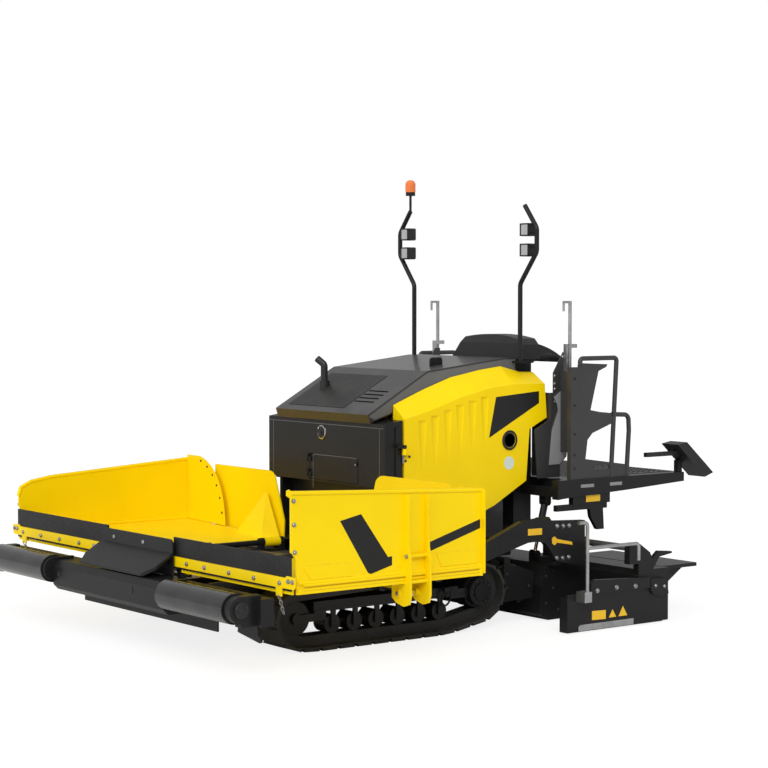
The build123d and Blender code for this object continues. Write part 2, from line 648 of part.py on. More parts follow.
for name, s in SIDES:
    save(sided(wing_barrel(), s), f"wing_barrel_{name}")
    save(sided(wing_rod(), s), f"wing_rod_{name}")

# ---- push bar: beam pivoted on the frame, with two truck rollers ----
CHEEK_T, END_CHEEK_T = 24.0, 60.0
END_OUT_Y = 1540.0
TONGUE_Z0, TONGUE_Z1 = EAR_ZS[0] + EAR_T + SEAT, EAR_ZS[1] - SEAT


def push_bar():
    x1 = BAR_REAR_X + BAR_T
    bar = block(BAR_REAR_X, x1, -END_OUT_Y, END_OUT_Y, BAR_BOTTOM_Z, BAR_TOP_Z)
    middle = (
        (x1, BAR_BOTTOM_Z - 30),
        (PUSH_X - 20, BAR_BOTTOM_Z - 30),
        (PUSH_X + 10, BAR_BOTTOM_Z),
        (PUSH_X + 10, BAR_TOP_Z - 40),
        (PUSH_X - 20, BAR_TOP_Z),
        (x1, BAR_TOP_Z),
    )
    half = PUSH_IN_Y - RUN - CHEEK_T
    end_y = PUSH_OUT_Y + RUN
    bar += plate_xz(middle, -half, half)
    for s in (1, -1):
        for y0, y1 in ((half, half + CHEEK_T), (end_y, end_y + END_CHEEK_T)):
            cheek = block(x1, PUSH_X, y0, y1, BAR_BOTTOM_Z, PUSH_Z + PUSH_R - 12)
            cheek += rod_y(y0, y1, PUSH_X, PUSH_Z, PUSH_R - 12)
            bar += sided(cheek, s)
        bar += sided(block(x1, x1 + 40, end_y, END_OUT_Y, BAR_BOTTOM_Z, BAR_TOP_Z), s)
        bar += sided(rod_y(half, end_y + END_CHEEK_T + 10, PUSH_X, PUSH_Z, PUSH_SHAFT_R + 14), s)
        seat = rod_y(half + CHEEK_T - 1, end_y + 1, PUSH_X, PUSH_Z, PUSH_SHAFT_R + 15)
        bar -= sided(seat - rod_y(half, END_OUT_Y, PUSH_X, PUSH_Z, PUSH_SHAFT_R), s)
    hook = ((1210, 240), (1225, BAR_BOTTOM_Z + 6), (1400, BAR_BOTTOM_Z + 6), (1450, 212), (1436, 204))
    bar += plate_yz(hook, BAR_REAR_X + 16, BAR_REAR_X + 30)
    tongue = block(PIVOT_X, BAR_REAR_X, -40, 40, TONGUE_Z0, TONGUE_Z1)
    tongue += rod_z(TONGUE_Z0, TONGUE_Z1, PIVOT_X, 0, 40)
    return bar + tongue + rod_z(EAR_ZS[0] - 8, EAR_ZS[1] + EAR_T + 8, PIVOT_X, 0, PIVOT_R)


def push_roller():
    roller = rod_y(PUSH_IN_Y, PUSH_OUT_Y, PUSH_X, PUSH_Z, PUSH_R)
    for y, side in ((PUSH_IN_Y, 1), (PUSH_OUT_Y, -1)):
        dish = rod_y(y, y + side * 8, PUSH_X, PUSH_Z, PUSH_R - 14)
        roller -= dish - rod_y(y, y + side * 8, PUSH_X, PUSH_Z, PUSH_SHAFT_R + 14)
    return roller - rod_y(PUSH_IN_Y, PUSH_OUT_Y, PUSH_X, PUSH_Z, PUSH_SHAFT_R + FIT)


save(push_bar(), "push_bar")
for name, s in SIDES:
    save(sided(push_roller(), s), f"push_roller_{name}")


# ---- front box: radiator and service housing ahead of the engine, with a hinged door ----
FLAP_Y0, FLAP_Y1 = -170.0, 366.0
FLAP_Z0, FLAP_Z1 = 940.0, 1100.0
BOX_SIDE_T = 20.0
SERVICE_PIN_R = 6.0
SERVICE_PIN_Y = FLAP_Y0 - 8.0
SERVICE_PIN_X = BOX_FRONT_X + 14.0
SERVICE_KNUCKLES = (955.0, 1055.0)
SERVICE_KNUCKLE_H = 26.0
BOX_REAR_TOP_Z = BOX_TOP_Z + 22.0


def front_box():
    outline = (
        (BOX_REAR_X, BOX_BOTTOM_Z),
        (BOX_FRONT_X, BOX_BOTTOM_Z),
        (BOX_FRONT_X, BOX_TOP_Z),
        (BOX_FRONT_X - SHEET_T, BOX_TOP_Z),
        (BOX_REAR_X, BOX_REAR_TOP_Z),
    )
    box = plate_xz(outline, -BOX_HALF, BOX_HALF)
    inside = (
        (BOX_REAR_X - 1, BOX_BOTTOM_Z - 1),
        (BOX_FRONT_X - SHEET_T, BOX_BOTTOM_Z - 1),
        (BOX_FRONT_X - SHEET_T, BOX_TOP_Z - SHEET_T),
        (BOX_REAR_X - 1, BOX_REAR_TOP_Z - SHEET_T),
    )
    box -= plate_xz(inside, -BOX_HALF + BOX_SIDE_T, BOX_HALF - BOX_SIDE_T)
    box -= block(
        BOX_FRONT_X - SHEET_T, BOX_FRONT_X, FLAP_Y0 - RUN, FLAP_Y1 + RUN, FLAP_Z0 - RUN, FLAP_Z1 + RUN
    )
    for z in SERVICE_KNUCKLES:
        z0, z1 = z + SERVICE_KNUCKLE_H + RUN, z + SERVICE_KNUCKLE_H + RUN + 14
        box += block(BOX_FRONT_X, SERVICE_PIN_X, SERVICE_PIN_Y - 10, SERVICE_PIN_Y + 2, z0, z1)
        box += rod_z(z0, z1, SERVICE_PIN_X, SERVICE_PIN_Y, 10)
        box += rod_z(z - 4, z1, SERVICE_PIN_X, SERVICE_PIN_Y, SERVICE_PIN_R)
    box += block(BOX_REAR_X, BOX_REAR_X + SHEET_T, -BOX_HALF + 64, BOX_HALF - 64, DECK_Z, BOX_BOTTOM_Z)
    legs = ((-1, BOX_HALF - 90), (1, BOX_HALF - 90))
    for s, y in legs:
        box += block(BOX_REAR_X, BOX_REAR_X + 90, s * y, s * (y + 34), DECK_Z, BOX_BOTTOM_Z)
        box += block(BOX_REAR_X, BOX_FRONT_X, s * y, s * BOX_HALF, BOX_BOTTOM_Z, BOX_BOTTOM_Z + SHEET_T)
    return box


def service_door():
    door = block(BOX_FRONT_X - SHEET_T, BOX_FRONT_X, FLAP_Y0, FLAP_Y1, FLAP_Z0, FLAP_Z1)
    door += rod_x(BOX_FRONT_X, BOX_FRONT_X + 8, FLAP_Y1 - 20, FLAP_Z1 - 36, 15)
    for z in SERVICE_KNUCKLES:
        top = z + SERVICE_KNUCKLE_H
        door += block(BOX_FRONT_X, SERVICE_PIN_X, SERVICE_PIN_Y, FLAP_Y0 + 26, z, top)
        door += rod_z(z, top, SERVICE_PIN_X, SERVICE_PIN_Y, 10)
        door -= rod_z(z - 1, top + 1, SERVICE_PIN_X, SERVICE_PIN_Y, SERVICE_PIN_R + FIT)
    return door


save(service_door(), "service_door")

# ---- hood: dark upper shell over the engine, with a row of slits ----
# Side outline from the lip over the ridge to the console, then back along the door's top edge: x, z.
HOOD_TOP = ((478.0, 1335.0), (500.0, 1392.0), (14.0, 1662.0), (-640.0, 1735.0), (-745.0, 1735.0))
HOOD_UNDER = (
    (-745.0, 1575.0),
    (-520.0, 1610.0),
    (-153.0, 1560.0),
    (72.0, 1500.0),
    (322.0, 1388.0),
    (444.0, 1350.0),
)
SLIT_ROWS = 4


def hood():
    shell = plate_xz(HOOD_TOP + HOOD_UNDER, -HOOD_HALF, HOOD_HALF)
    under = (
        (478 - 24, 1334.0),
        (500 - 24, 1392 - HOOD_T),
        (14.0, 1662 - HOOD_T - 4),
        (-640.0, 1735 - HOOD_T),
        (-745 + SHEET_T, 1735 - HOOD_T),
        (-745 + SHEET_T, 1300.0),
        (454.0, 1300.0),
    )
    shell -= plate_xz(under, -HOOD_HALF + HOOD_T, HOOD_HALF - HOOD_T)
    slope = atan2(HOOD_TOP[2][1] - HOOD_TOP[1][1], HOOD_TOP[1][0] - HOOD_TOP[2][0])
    for k in range(SLIT_ROWS):
        along = 150.0 + k * 44
        x = HOOD_TOP[1][0] - along * cos(slope)
        z = HOOD_TOP[1][1] + along * sin(slope)
        slit = Box(16, 210, 90)
        shell -= Pos(x, 310, z) * Rot(0, degrees(slope), 0) * slit
    return shell


save(hood(), "hood")

# ---- exhaust stack, bent at its mouth ----
STACK_X, STACK_Y, STACK_R = 245.0, -310.0, 24.0
STACK_TOP_Z = 1726.0


def hood_z(x):
    (x0, z0), (x1, z1) = HOOD_TOP[1], HOOD_TOP[2]
    return z0 + (z1 - z0) * (x - x0) / (x1 - x0)


def exhaust():
    foot = hood_z(STACK_X)
    points = (
        (STACK_X, STACK_Y, foot + 4),
        (STACK_X, STACK_Y, STACK_TOP_Z - 40),
        (STACK_X + 26, STACK_Y - 46, STACK_TOP_Z),
    )
    stack = bent_tube(points, STACK_R, 30)
    stack += rod_z(foot - 24, foot + 46, STACK_X, STACK_Y, STACK_R + 12)
    slope = atan2(HOOD_TOP[2][1] - HOOD_TOP[1][1], HOOD_TOP[1][0] - HOOD_TOP[2][0])
    cut = Pos(STACK_X, STACK_Y, foot) * Rot(0, degrees(slope), 0) * Pos(0, 0, -60) * Box(300, 300, 120)
    return stack - cut


save(exhaust(), "exhaust_stack")

# ---- engine, one plain block on its feet ----
ENGINE = (-560.0, 160.0, -310.0, 310.0, 600.0, 1230.0)


def engine():
    x0, x1, y0, y1, z0, z1 = ENGINE
    shape = block(x0, x1, y0, y1, z0, z1)
    for x in (x0 + 30, x1 - 130):
        for y in (y0 + 20, y1 - 100):
            shape += block(x, x + 100, y, y + 80, DECK_Z, z0)
    return shape


save(engine(), "engine")

# ---- side doors: shouldered engine covers hinged at the front edge ----
# Outline from the front foot up: x, z. The shoulder is where the face turns in to the hood.
DOOR_EDGE = ((314.0, 700.0), (314.0, 1362.0))
DOOR_SHOULDER = (
    (105.0, 1412.0),
    (-144.0, 1487.0),
    (-400.0, 1544.0),
    (-600.0, 1563.0),
    (-770.0, 1563.0),
    (-880.0, 1560.0),
)
DOOR_REAR = ((-898.0, 1334.0), (-745.0, 1262.0), (-716.0, 918.0), (-437.0, 768.0), (-250.0, 700.0))
DOOR_CREST = (
    (300.0, 1450.0),
    (60.0, 1542.0),
    (-169.0, 1616.0),
    (-420.0, 1660.0),
    (-600.0, 1681.0),
    (-770.0, 1640.0),
    (-890.0, 1636.0),
)
FLUTE_COUNT, FLUTE_PITCH, FLUTE_FRONT_X = 6, 104.0, 165.0
FLUTE_R, FLUTE_DEPTH, FLUTE_L = 70.0, 9.0, 330.0
DOOR_PIN_R = 8.0
DOOR_PIN_X, DOOR_PIN_Y = 331.0, BOX_HALF + 36.0
DOOR_KNUCKLES = (860.0, 1138.0)
DOOR_KNUCKLE_H = 40.0
VENT_X, VENT_Z, VENT_R = -565.0, 1195.0, 50.0


def outline_face(points, y):
    return make_face(Polyline([(x, y, z) for x, z in points], close=True))


def moved_in(points, gap):
    """The outline pulled in towards its middle, sheet thickness left all round."""
    cx = sum(x for x, _ in points) / len(points)
    cz = sum(z for _, z in points) / len(points)
    moved = []
    for x, z in points:
        far = hypot(x - cx, z - cz)
        moved.append((x + (cx - x) * gap / far, z + (cz - z) * gap / far))
    return moved


def shoulder_z(x):
    """Height of the door's shoulder line at a distance along it."""
    line = (DOOR_EDGE[1],) + DOOR_SHOULDER
    for (xa, za), (xb, zb) in zip(line, line[1:]):
        if xb <= x <= xa:
            return za + (zb - za) * (x - xa) / (xb - xa)
    return line[-1][1]


def side_door():
    """Cover lofted from its flat face in to the crest, hollow, with shallow flutes below the shoulder."""
    outer = DOOR_EDGE + DOOR_SHOULDER + DOOR_REAR
    crest = (DOOR_EDGE[0],) + DOOR_CREST + DOOR_REAR
    door = loft([outline_face(outer, DOOR_OUT_Y), outline_face(crest, DOOR_IN_Y)], ruled=True)
    hollow = [
        outline_face(moved_in(outer, 34), DOOR_OUT_Y - DOOR_T),
        outline_face(moved_in(crest, 34), DOOR_IN_Y - 1),
    ]
    door -= loft(hollow, ruled=True)
    for k in range(FLUTE_COUNT):
        x = FLUTE_FRONT_X - k * FLUTE_PITCH
        top = shoulder_z(x) - 46
        lean = degrees(atan2(FLUTE_DEPTH, FLUTE_L))
        flute = Pos(0, 0, -FLUTE_L / 2) * Cylinder(FLUTE_R, FLUTE_L)
        door -= Pos(x, DOOR_OUT_Y + FLUTE_R - FLUTE_DEPTH, top) * Rot(lean, 0, 0) * flute
    door += rod_y(DOOR_OUT_Y - 2, DOOR_OUT_Y + 8, VENT_X, VENT_Z, VENT_R + 14)
    door -= rod_y(DOOR_IN_Y, DOOR_OUT_Y + 9, VENT_X, VENT_Z, VENT_R)
    for z in DOOR_KNUCKLES:
        z1 = z + DOOR_KNUCKLE_H
        door += block(286, DOOR_PIN_X, DOOR_OUT_Y - 2, DOOR_PIN_Y, z, z1)
        door += rod_z(z, z1, DOOR_PIN_X, DOOR_PIN_Y, 13)
        door -= rod_z(z - 1, z1 + 1, DOOR_PIN_X, DOOR_PIN_Y, DOOR_PIN_R + FIT)
    return door


def door_hinge():
    """Lugs and pins on the front box that carry one side door."""
    lugs = Part()
    for z in DOOR_KNUCKLES:
        z0 = z + DOOR_KNUCKLE_H + RUN
        lugs += block(DOOR_PIN_X, DOOR_PIN_X + 50, BOX_HALF, DOOR_PIN_Y, z0, z0 + 18)
        lugs += rod_z(z0, z0 + 18, DOOR_PIN_X, DOOR_PIN_Y, 13)
        lugs += rod_z(z - 6, z0 + 18, DOOR_PIN_X, DOOR_PIN_Y, DOOR_PIN_R)
    low = DOOR_KNUCKLES[0] + DOOR_KNUCKLE_H + RUN
    lugs += block(DOOR_PIN_X + 12, DOOR_PIN_X + 50, BOX_HALF, BOX_HALF + 8, low, BOX_TOP_Z - 20)
    return lugs


for name, s in SIDES:
    save(sided(side_door(), s), f"side_door_{name}")
save(front_box() + sided(door_hinge(), 1) + sided(door_hinge(), -1), "front_box")

# ---- rear housing behind the engine, and the dash that carries the console ----
HOUSING_REAR_X = -900.0
HOUSING_HALF = 500.0


def rear_housing():
    shell = block(HOUSING_REAR_X, BULKHEAD_X, -HOUSING_HALF, HOUSING_HALF, SHELF_Z, 1700)
    shell -= block(HOUSING_REAR_X + 12, BULKHEAD_X - 12, -HOUSING_HALF + 12, HOUSING_HALF - 12, SHELF_Z, 1688)
    return shell + block(HOUSING_REAR_X, TAIL_X, -HOUSING_HALF, HOUSING_HALF, SHELF_Z - 40, SHELF_Z)


save(rear_housing(), "rear_housing")

# ---- platform: side beams, cross beams and tread plate ----
BEAM_T = 60.0
TREAD_T = 18.0
MAT_HALF, MAT_T = PLAT_HALF - 100.0, 3.0
MAT_FRONT_X, MAT_REAR_X = HOUSING_REAR_X - 190.0, PLAT_REAR_X + 20.0


def platform():
    z1 = PLAT_TOP_Z - TREAD_T
    z0 = PLAT_TOP_Z - PLAT_H
    y0 = PLAT_HALF - BEAM_T
    deck = block(PLAT_REAR_X, HOUSING_REAR_X - 2, -PLAT_HALF, PLAT_HALF, z1, PLAT_TOP_Z)
    beam = (
        (PLAT_FRONT_X + 16, PLAT_TOP_Z),
        (PLAT_FRONT_X + 16, PLAT_TOP_Z - 127),
        (HOUSING_REAR_X - 58, PLAT_TOP_Z - 115),
        (PLAT_REAR_X + 567, PLAT_TOP_Z - 95),
        (PLAT_REAR_X, PLAT_TOP_Z - 63),
        (PLAT_REAR_X, PLAT_TOP_Z),
    )
    for s in (1, -1):
        deck += sided(plate_xz(beam, y0, PLAT_HALF), s)
        arm = block(PLAT_FRONT_X - 60, PLAT_FRONT_X + 16, HOUSING_HALF, y0, z0 - 40, z0 + 20)
        deck += sided(arm, s)
        tray = block(HOUSING_REAR_X - 395, HOUSING_REAR_X - 56, y0, PLAT_HALF - 18, z0 - 98, z0 - 20)
        tray += block(HOUSING_REAR_X - 377, PLAT_FRONT_X + 4, y0, PLAT_HALF - 28, z0 - 136, z0 - 96)
        tray += plate_xz(
            ((-1120, z0 - 134), (-1240, z0 - 134), (-1250, z0 - 278), (-1190, z0 - 278), (-1130, z0 - 190)),
            y0,
            PLAT_HALF - 28,
        )
        deck += sided(tray, s)
    deck += block(MAT_REAR_X, MAT_FRONT_X, -MAT_HALF, MAT_HALF, PLAT_TOP_Z, PLAT_TOP_Z + MAT_T)
    for x in (HOUSING_REAR_X - 2 - 60, PLAT_REAR_X + 400, PLAT_REAR_X):
        deck += block(x, x + 60, -PLAT_HALF + BEAM_T, PLAT_HALF - BEAM_T, z0, z1)
    return deck


# ---- console, light masts, lamps and beacon ----
CONSOLE_Y0, CONSOLE_Y1 = -230.0, 500.0
CONSOLE_FRONT_X, CONSOLE_REAR_X = -772.0, -990.0
HOUSING_TOP_Z = 1700.0
MAST_X, MAST_Y, MAST_R = -735.0, 575.0, 16.0
MAST_TOP_Z = 2752.0
MAST_BEND_Z0, MAST_BEND_Z1, MAST_BEND_Z2 = MAST_TOP_Z - 522, MAST_TOP_Z - 312, MAST_TOP_Z - 152
LAMP_ZS = ((MAST_TOP_Z - 297, MAST_TOP_Z - 274), (MAST_TOP_Z - 162, MAST_TOP_Z - 187))
MAST_OUT = 165.0
LAMP = 86.0
BEACON_R, BEACON_Z = 40.0, MAST_TOP_Z + 138


def console():
    """Sliding control console: an arched hood on a wider foot, with its swept cover behind."""
    z0 = HOUSING_TOP_Z
    low, high = z0 + 22, z0 + 160
    arch = (
        Line((0, CONSOLE_Y0 + 24, low), (0, CONSOLE_Y1 - 4, low)),
        Line((0, CONSOLE_Y1 - 4, low), (0, CONSOLE_Y1 - 14, high - 40)),
        Line((0, CONSOLE_Y1 - 14, high - 40), (0, CONSOLE_Y1 - 54, high)),
        ThreePointArc((0, CONSOLE_Y1 - 54, high), (0, 170, high + 28), (0, CONSOLE_Y0 + 124, high + 8)),
        Line((0, CONSOLE_Y0 + 124, high + 8), (0, CONSOLE_Y0 + 24, low)),
    )
    hood_x = CONSOLE_REAR_X + 10
    body = Pos(hood_x, 0, 0) * extrude(make_face(arch), CONSOLE_FRONT_X - hood_x, dir=(1, 0, 0))
    side = (
        (CONSOLE_FRONT_X - 6, low - 2),
        (CONSOLE_FRONT_X - 26, high - 30),
        (CONSOLE_FRONT_X - 70, high + 40),
        (hood_x, high + 40),
        (hood_x, low - 2),
    )
    body = body & plate_xz(side, CONSOLE_Y0, CONSOLE_Y1)
    body += block(CONSOLE_REAR_X, CONSOLE_FRONT_X, CONSOLE_Y0, HOUSING_HALF - 66, z0, low)
    rear = CONSOLE_REAR_X
    cover = (
        Line((rear + 12, 0, low), (rear + 12, 0, high - 30)),
        ThreePointArc((rear + 12, 0, high - 30), (rear - 120, 0, high - 64), (rear - 262, 0, z0 + 22)),
        Line((rear - 262, 0, z0 + 22), (rear - 262, 0, z0 - 8)),
        ThreePointArc((rear - 262, 0, z0 - 8), (rear - 130, 0, high - 104), (rear - 4, 0, low)),
        Line((rear - 4, 0, low), (rear + 12, 0, low)),
    )
    width = CONSOLE_Y1 - CONSOLE_Y0 - 130
    body += Pos(0, CONSOLE_Y0 + 60, 0) * extrude(make_face(cover), width, dir=(0, 1, 0))
    return body


def mast():
    foot = HOUSING_TOP_Z + 14
    path = (
        (MAST_X, MAST_Y, foot),
        (MAST_X, MAST_Y, MAST_BEND_Z0),
        (MAST_X, MAST_Y + MAST_OUT, MAST_BEND_Z1),
        (MAST_X, MAST_Y + MAST_OUT, MAST_BEND_Z2),
        (MAST_X, MAST_Y + 45, MAST_TOP_Z),
    )
    bracket = block(MAST_X - 95, MAST_X - 30, HOUSING_HALF - 60, MAST_Y + 28, HOUSING_TOP_Z, foot)
    bracket += block(MAST_X - 30, MAST_X + 30, HOOD_HALF + 10, MAST_Y + 28, HOUSING_TOP_Z, foot)
    return bent_tube(path, MAST_R, 60) + bracket


def lamps():
    """Two work lamps on the bent part of one mast, each on a short arm."""
    pair = []
    y1 = MAST_Y + MAST_OUT - MAST_R - SEAT
    for z, arm_z in LAMP_ZS:
        head = block(MAST_X - 40, MAST_X + 30, y1 - 30 - LAMP, y1 - 30, z - LAMP / 2, z + LAMP / 2)
        head = chamfer(head.edges().filter_by(Axis.X), 8)
        pair.append(head + block(MAST_X - 8, MAST_X + 8, y1 - 31, y1, arm_z - 8, arm_z + 8))
    return pair


def beacon():
    x, y = MAST_X, -(MAST_Y + 45)
    stem = rod_z(MAST_TOP_Z - 12, BEACON_Z - 26, x, y, 9) + rod_z(BEACON_Z - 26, BEACON_Z, x, y, 34)
    r = BEACON_R - 4
    dome = rod_z(BEACON_Z, BEACON_Z + 62, x, y, r)
    dome += Pos(x, y, BEACON_Z + 70) * Cone(r, r - 8, 16)
    dome += Pos(x, y, BEACON_Z + 82) * Cone(r - 8, r - 24, 8)
    return stem, dome


save(console(), "console")
stem, dome = beacon()
save(Compound([sided(mast(), 1), sided(mast(), -1) + stem]), "light_masts")
save(dome, "beacon")
save(Compound([sided(lamp, s) for lamp in lamps() for _, s in SIDES]), "work_lamps")

# ---- guards and handrails at the sides of the platform ----
GUARD_Y0, GUARD_Y1 = PLAT_HALF - 24, PLAT_HALF - 12
PILLAR = (-997.0, -925.0, PLAT_HALF - 44, PLAT_HALF - 8)
PILLAR_TOP_Z = 1675.0
RAIL_R = 16.0
PANEL_Y = BOX_HALF + 40


def side_guard():
    x0, x1, y0, y1 = PILLAR
    guard = block(x0, x1, y0, y1, PLAT_TOP_Z, PILLAR_TOP_Z)
    wing_plate = (
        (x0, 1690),
        (x0 - 17, 1702),
        (-1261, 1690),
        (-1250, 1672),
        (-1179, 1645),
        (-1107, 1385),
        (-1199, 1369),
        (-1315, 1358),
        (-1325, 1296),
        (-1200, 1254),
        (-1126, 1230),
        (-1081, 1185),
        (-1063, 1058),
        (-1055, 1020),
        (x0, 1020),
    )
    guard += plate_xz(wing_plate, GUARD_Y0, GUARD_Y1)
    kick = ((x0, PLAT_TOP_Z), (x0, 1058), (-1063, 1058), (-1434, 1006), (-1434, PLAT_TOP_Z))
    guard += plate_xz(kick, GUARD_Y0, GUARD_Y1) - block(-1284, -1146, GUARD_Y0 - 1, GUARD_Y1 + 1, 986, 1008)
    dark = ((-765, 1256), (-910, 1324), (-910, 1486), (-990, 1500), (-990, 930), (-790, 930))
    guard += plate_xz(dark, PANEL_Y - 10, PANEL_Y)
    pale = (
        (-920, 1479),
        (-1088, 1582),
        (-1045, 1068),
        (-985, 1010),
        (-880, 1009),
        (-905, 1250),
        (-962, 1383),
        (-952, 1423),
    )
    guard += plate_xz(pale, PANEL_Y, PANEL_Y + 6)
    shield = ((-930, 1480), (-930, 1634), (-1018, 1772), (-1060, 1772), (-1060, 1590), (-1040, 1540))
    guard += plate_xz(shield, PANEL_Y - 10, PANEL_Y)
    guard += block(x0, x0 + 10, PANEL_Y - 10, y0, 1100, 1640)
    return guard


def handrail():
    y = (GUARD_Y0 + GUARD_Y1) / 2
    front, rear, foot = -1016.0, -1350.0, -1306.0
    top = ((front, y, 1690), (front, y, 1732), (rear, y, 1732), (foot, y, 1000), (foot, y, PLAT_TOP_Z))
    low = ((-1310, y, 1350), (-1462, y, 1342), (-1468, y, 1236), (-1452, y, 1000), (-1452, y, PLAT_TOP_Z))
    return bent_tube(top, RAIL_R, 24) + bent_tube(low, RAIL_R, 40)


save(Compound([sided(side_guard() + handrail(), s) for _, s in SIDES]), "side_guards")

# ---- spindle beside the platform, service box under it, rear console on its post ----
SPINDLE_X, SPINDLE_Y, SPINDLE_R = -1060.0, BOX_HALF + 58, 12.0
SPINDLE_FOOT_Z, SPINDLE_TOP_Z = 1572.0, 2116.0
COLLAR_ZS, COLLAR_H = (1590.0, 1800.0), 26.0
POST_X0, POST_X1 = SPINDLE_X + 22, SPINDLE_X + 42
REMOTE_TIP_X = -2182.0
REMOTE_Y0, REMOTE_Y1 = PLAT_HALF - 70, PLAT_HALF + 90


def spindle():
    """Hand-turned rod in two collars on a flat post, with its hooked handle at the top."""
    pole = rod_z(SPINDLE_FOOT_Z, SPINDLE_TOP_Z, SPINDLE_X, SPINDLE_Y, SPINDLE_R)
    for z in COLLAR_ZS:
        pole += block(SPINDLE_X - 48, SPINDLE_X + 22, PANEL_Y, SPINDLE_Y + 20, z, z + COLLAR_H)
    pole += block(POST_X0, POST_X1, PANEL_Y, SPINDLE_Y + 10, COLLAR_ZS[0], COLLAR_ZS[1] + COLLAR_H)
    hook_x = SPINDLE_X + 58
    pole += rod_x(SPINDLE_X - 4, hook_x, SPINDLE_Y, SPINDLE_TOP_Z - 8, 8)
    return pole + rod_z(SPINDLE_TOP_Z - 70, SPINDLE_TOP_Z, hook_x, SPINDLE_Y, 8)


def remote_console():
    tip = REMOTE_TIP_X
    case = ((tip + 350, 1126), (tip + 260, 1140), (tip, 918), (tip + 82, 890))
    box = plate_xz(case, REMOTE_Y0, REMOTE_Y1)
    box += block(PLAT_REAR_X, PLAT_REAR_X + 40, PLAT_HALF - 60, PLAT_HALF - 20, PLAT_TOP_Z, 1006)
    bar_y = (REMOTE_Y0 + REMOTE_Y1) / 2 - 20
    return box + block(tip + 250, tip + 580, bar_y, bar_y + 30, 1046, 1076)


save(Compound([sided(spindle(), s) for _, s in SIDES]), "spindles")
save(remote_console(), "remote_console")

# ---- tow brackets, auger case and the finished main frame ----
TOW_LUG_Y0, TOW_LUG_Y1 = 914.0, 950.0
HANGER_Y = FRAME_OUT_Y - FRAME_T
CASE_HALF = 54.0
GUARD_PLATE_Y, GUARD_PLATE_T = 852.0, 16.0


def tow_bracket():
    arm = block(TOW_X - 60, TOW_X + 60, FRAME_OUT_Y, TOW_LUG_Y1, 456, 500)
    arm += block(TOW_X - 60, TOW_X + 60, TOW_LUG_Y0, TOW_LUG_Y1, TOW_Z, 500)
    arm += rod_y(TOW_LUG_Y0, TOW_LUG_Y1, TOW_X, TOW_Z, 60)
    return arm + rod_y(TOW_LUG_Y0, ARM_OUT_Y + 12, TOW_X, TOW_Z, TOW_PIN_R)


def auger_case():
    """Gearcase in the middle, hung from the deck, that turns both augers."""
    case = block(AUGER_X - 46, AUGER_X + 46, -CASE_HALF, CASE_HALF, AUGER_Z, DECK_Z - DECK_T)
    case += rod_y(-CASE_HALF, CASE_HALF, AUGER_X, AUGER_Z, 46)
    for s in (1, -1):
        case -= sided(rod_y(CASE_HALF - 30, CASE_HALF + 1, AUGER_X, AUGER_Z, AUGER_SHAFT_R + FIT), s)
    return case


def auger_hanger():
    """Bearing plate below the frame's side plate."""
    hanger = block(AUGER_X - 40, AUGER_X + 40, HANGER_Y, FRAME_OUT_Y, AUGER_Z, TAIL_Z)
    hanger += rod_y(HANGER_Y, FRAME_OUT_Y, AUGER_X, AUGER_Z, 40)
    return hanger - rod_y(HANGER_Y - 1, FRAME_OUT_Y + 1, AUGER_X, AUGER_Z, AUGER_SHAFT_R + FIT)


def auger_guard():
    """Upright plate outside each auger, on a bracket off the frame's side plate."""
    plate = ((-346, 159), (-348, 410), (-457, 390), (-596, 340), (-605, 319), (-588, 169))
    guard = plate_xz(plate, GUARD_PLATE_Y, GUARD_PLATE_Y + GUARD_PLATE_T)
    guard += block(-400, -350, FRAME_OUT_Y - FRAME_T, GUARD_PLATE_Y + GUARD_PLATE_T, 425, 445)
    return guard + block(-400, -350, GUARD_PLATE_Y, GUARD_PLATE_Y + GUARD_PLATE_T, 390, 445)


frame = main_frame()
for _, s in SIDES:
    frame += sided(base_bracket() + tow_bracket() + auger_hanger() + auger_guard(), s)
save(frame, "main_frame")
save(frame_deck() + auger_case(), "frame_deck")

# ---- augers: shaft with half-turn flights bolted round it ----
FLIGHT_T = 12.0
AUGER_END_Y = 846.0


def auger():
    shaft = rod_y(CASE_HALF - 29, AUGER_END_Y, AUGER_X, AUGER_Z, AUGER_SHAFT_R)
    tilt = degrees(atan2(AUGER_PITCH / 4, AUGER_R))
    y = CASE_HALF + 60
    k = 0
    while y < AUGER_END_Y - 30:
        if abs(y - (HANGER_Y + FRAME_OUT_Y) / 2) > 75:
            side = 1 if k % 2 == 0 else -1
            disc = rod_y(-FLIGHT_T / 2, FLIGHT_T / 2, 0, 0, AUGER_R)
            half = disc & block(0, side * (AUGER_R + 1), -20, 20, -AUGER_R - 1, AUGER_R + 1)
            shaft += Pos(AUGER_X, y, AUGER_Z) * Rot(-side * tilt, 0, 0) * half
        y += AUGER_PITCH / 2
        k += 1
    return shaft


for name, s in SIDES:
    save(sided(auger(), s), f"auger_{name}")

# ---- tow arms and main screed ----
ARM_IN_Y = ARM_OUT_Y - ARM_T
ARM_REAR_X = -938.0
GUIDE_X = {"left": -1045.0, "right": -975.0}
GUIDE_BLOCKS = (500.0, 790.0)
GUIDE_IN_Y = 60.0
GUIDE_BLOCK_L = 70.0
LIFT_Y = 700.0
LIFT_TOP_X, LIFT_TOP_Z = -852.0, 770.0
LIFT_FOOT_X, LIFT_FOOT_Z = -760.0, 432.0
LIFT_PIN_R = 11.0


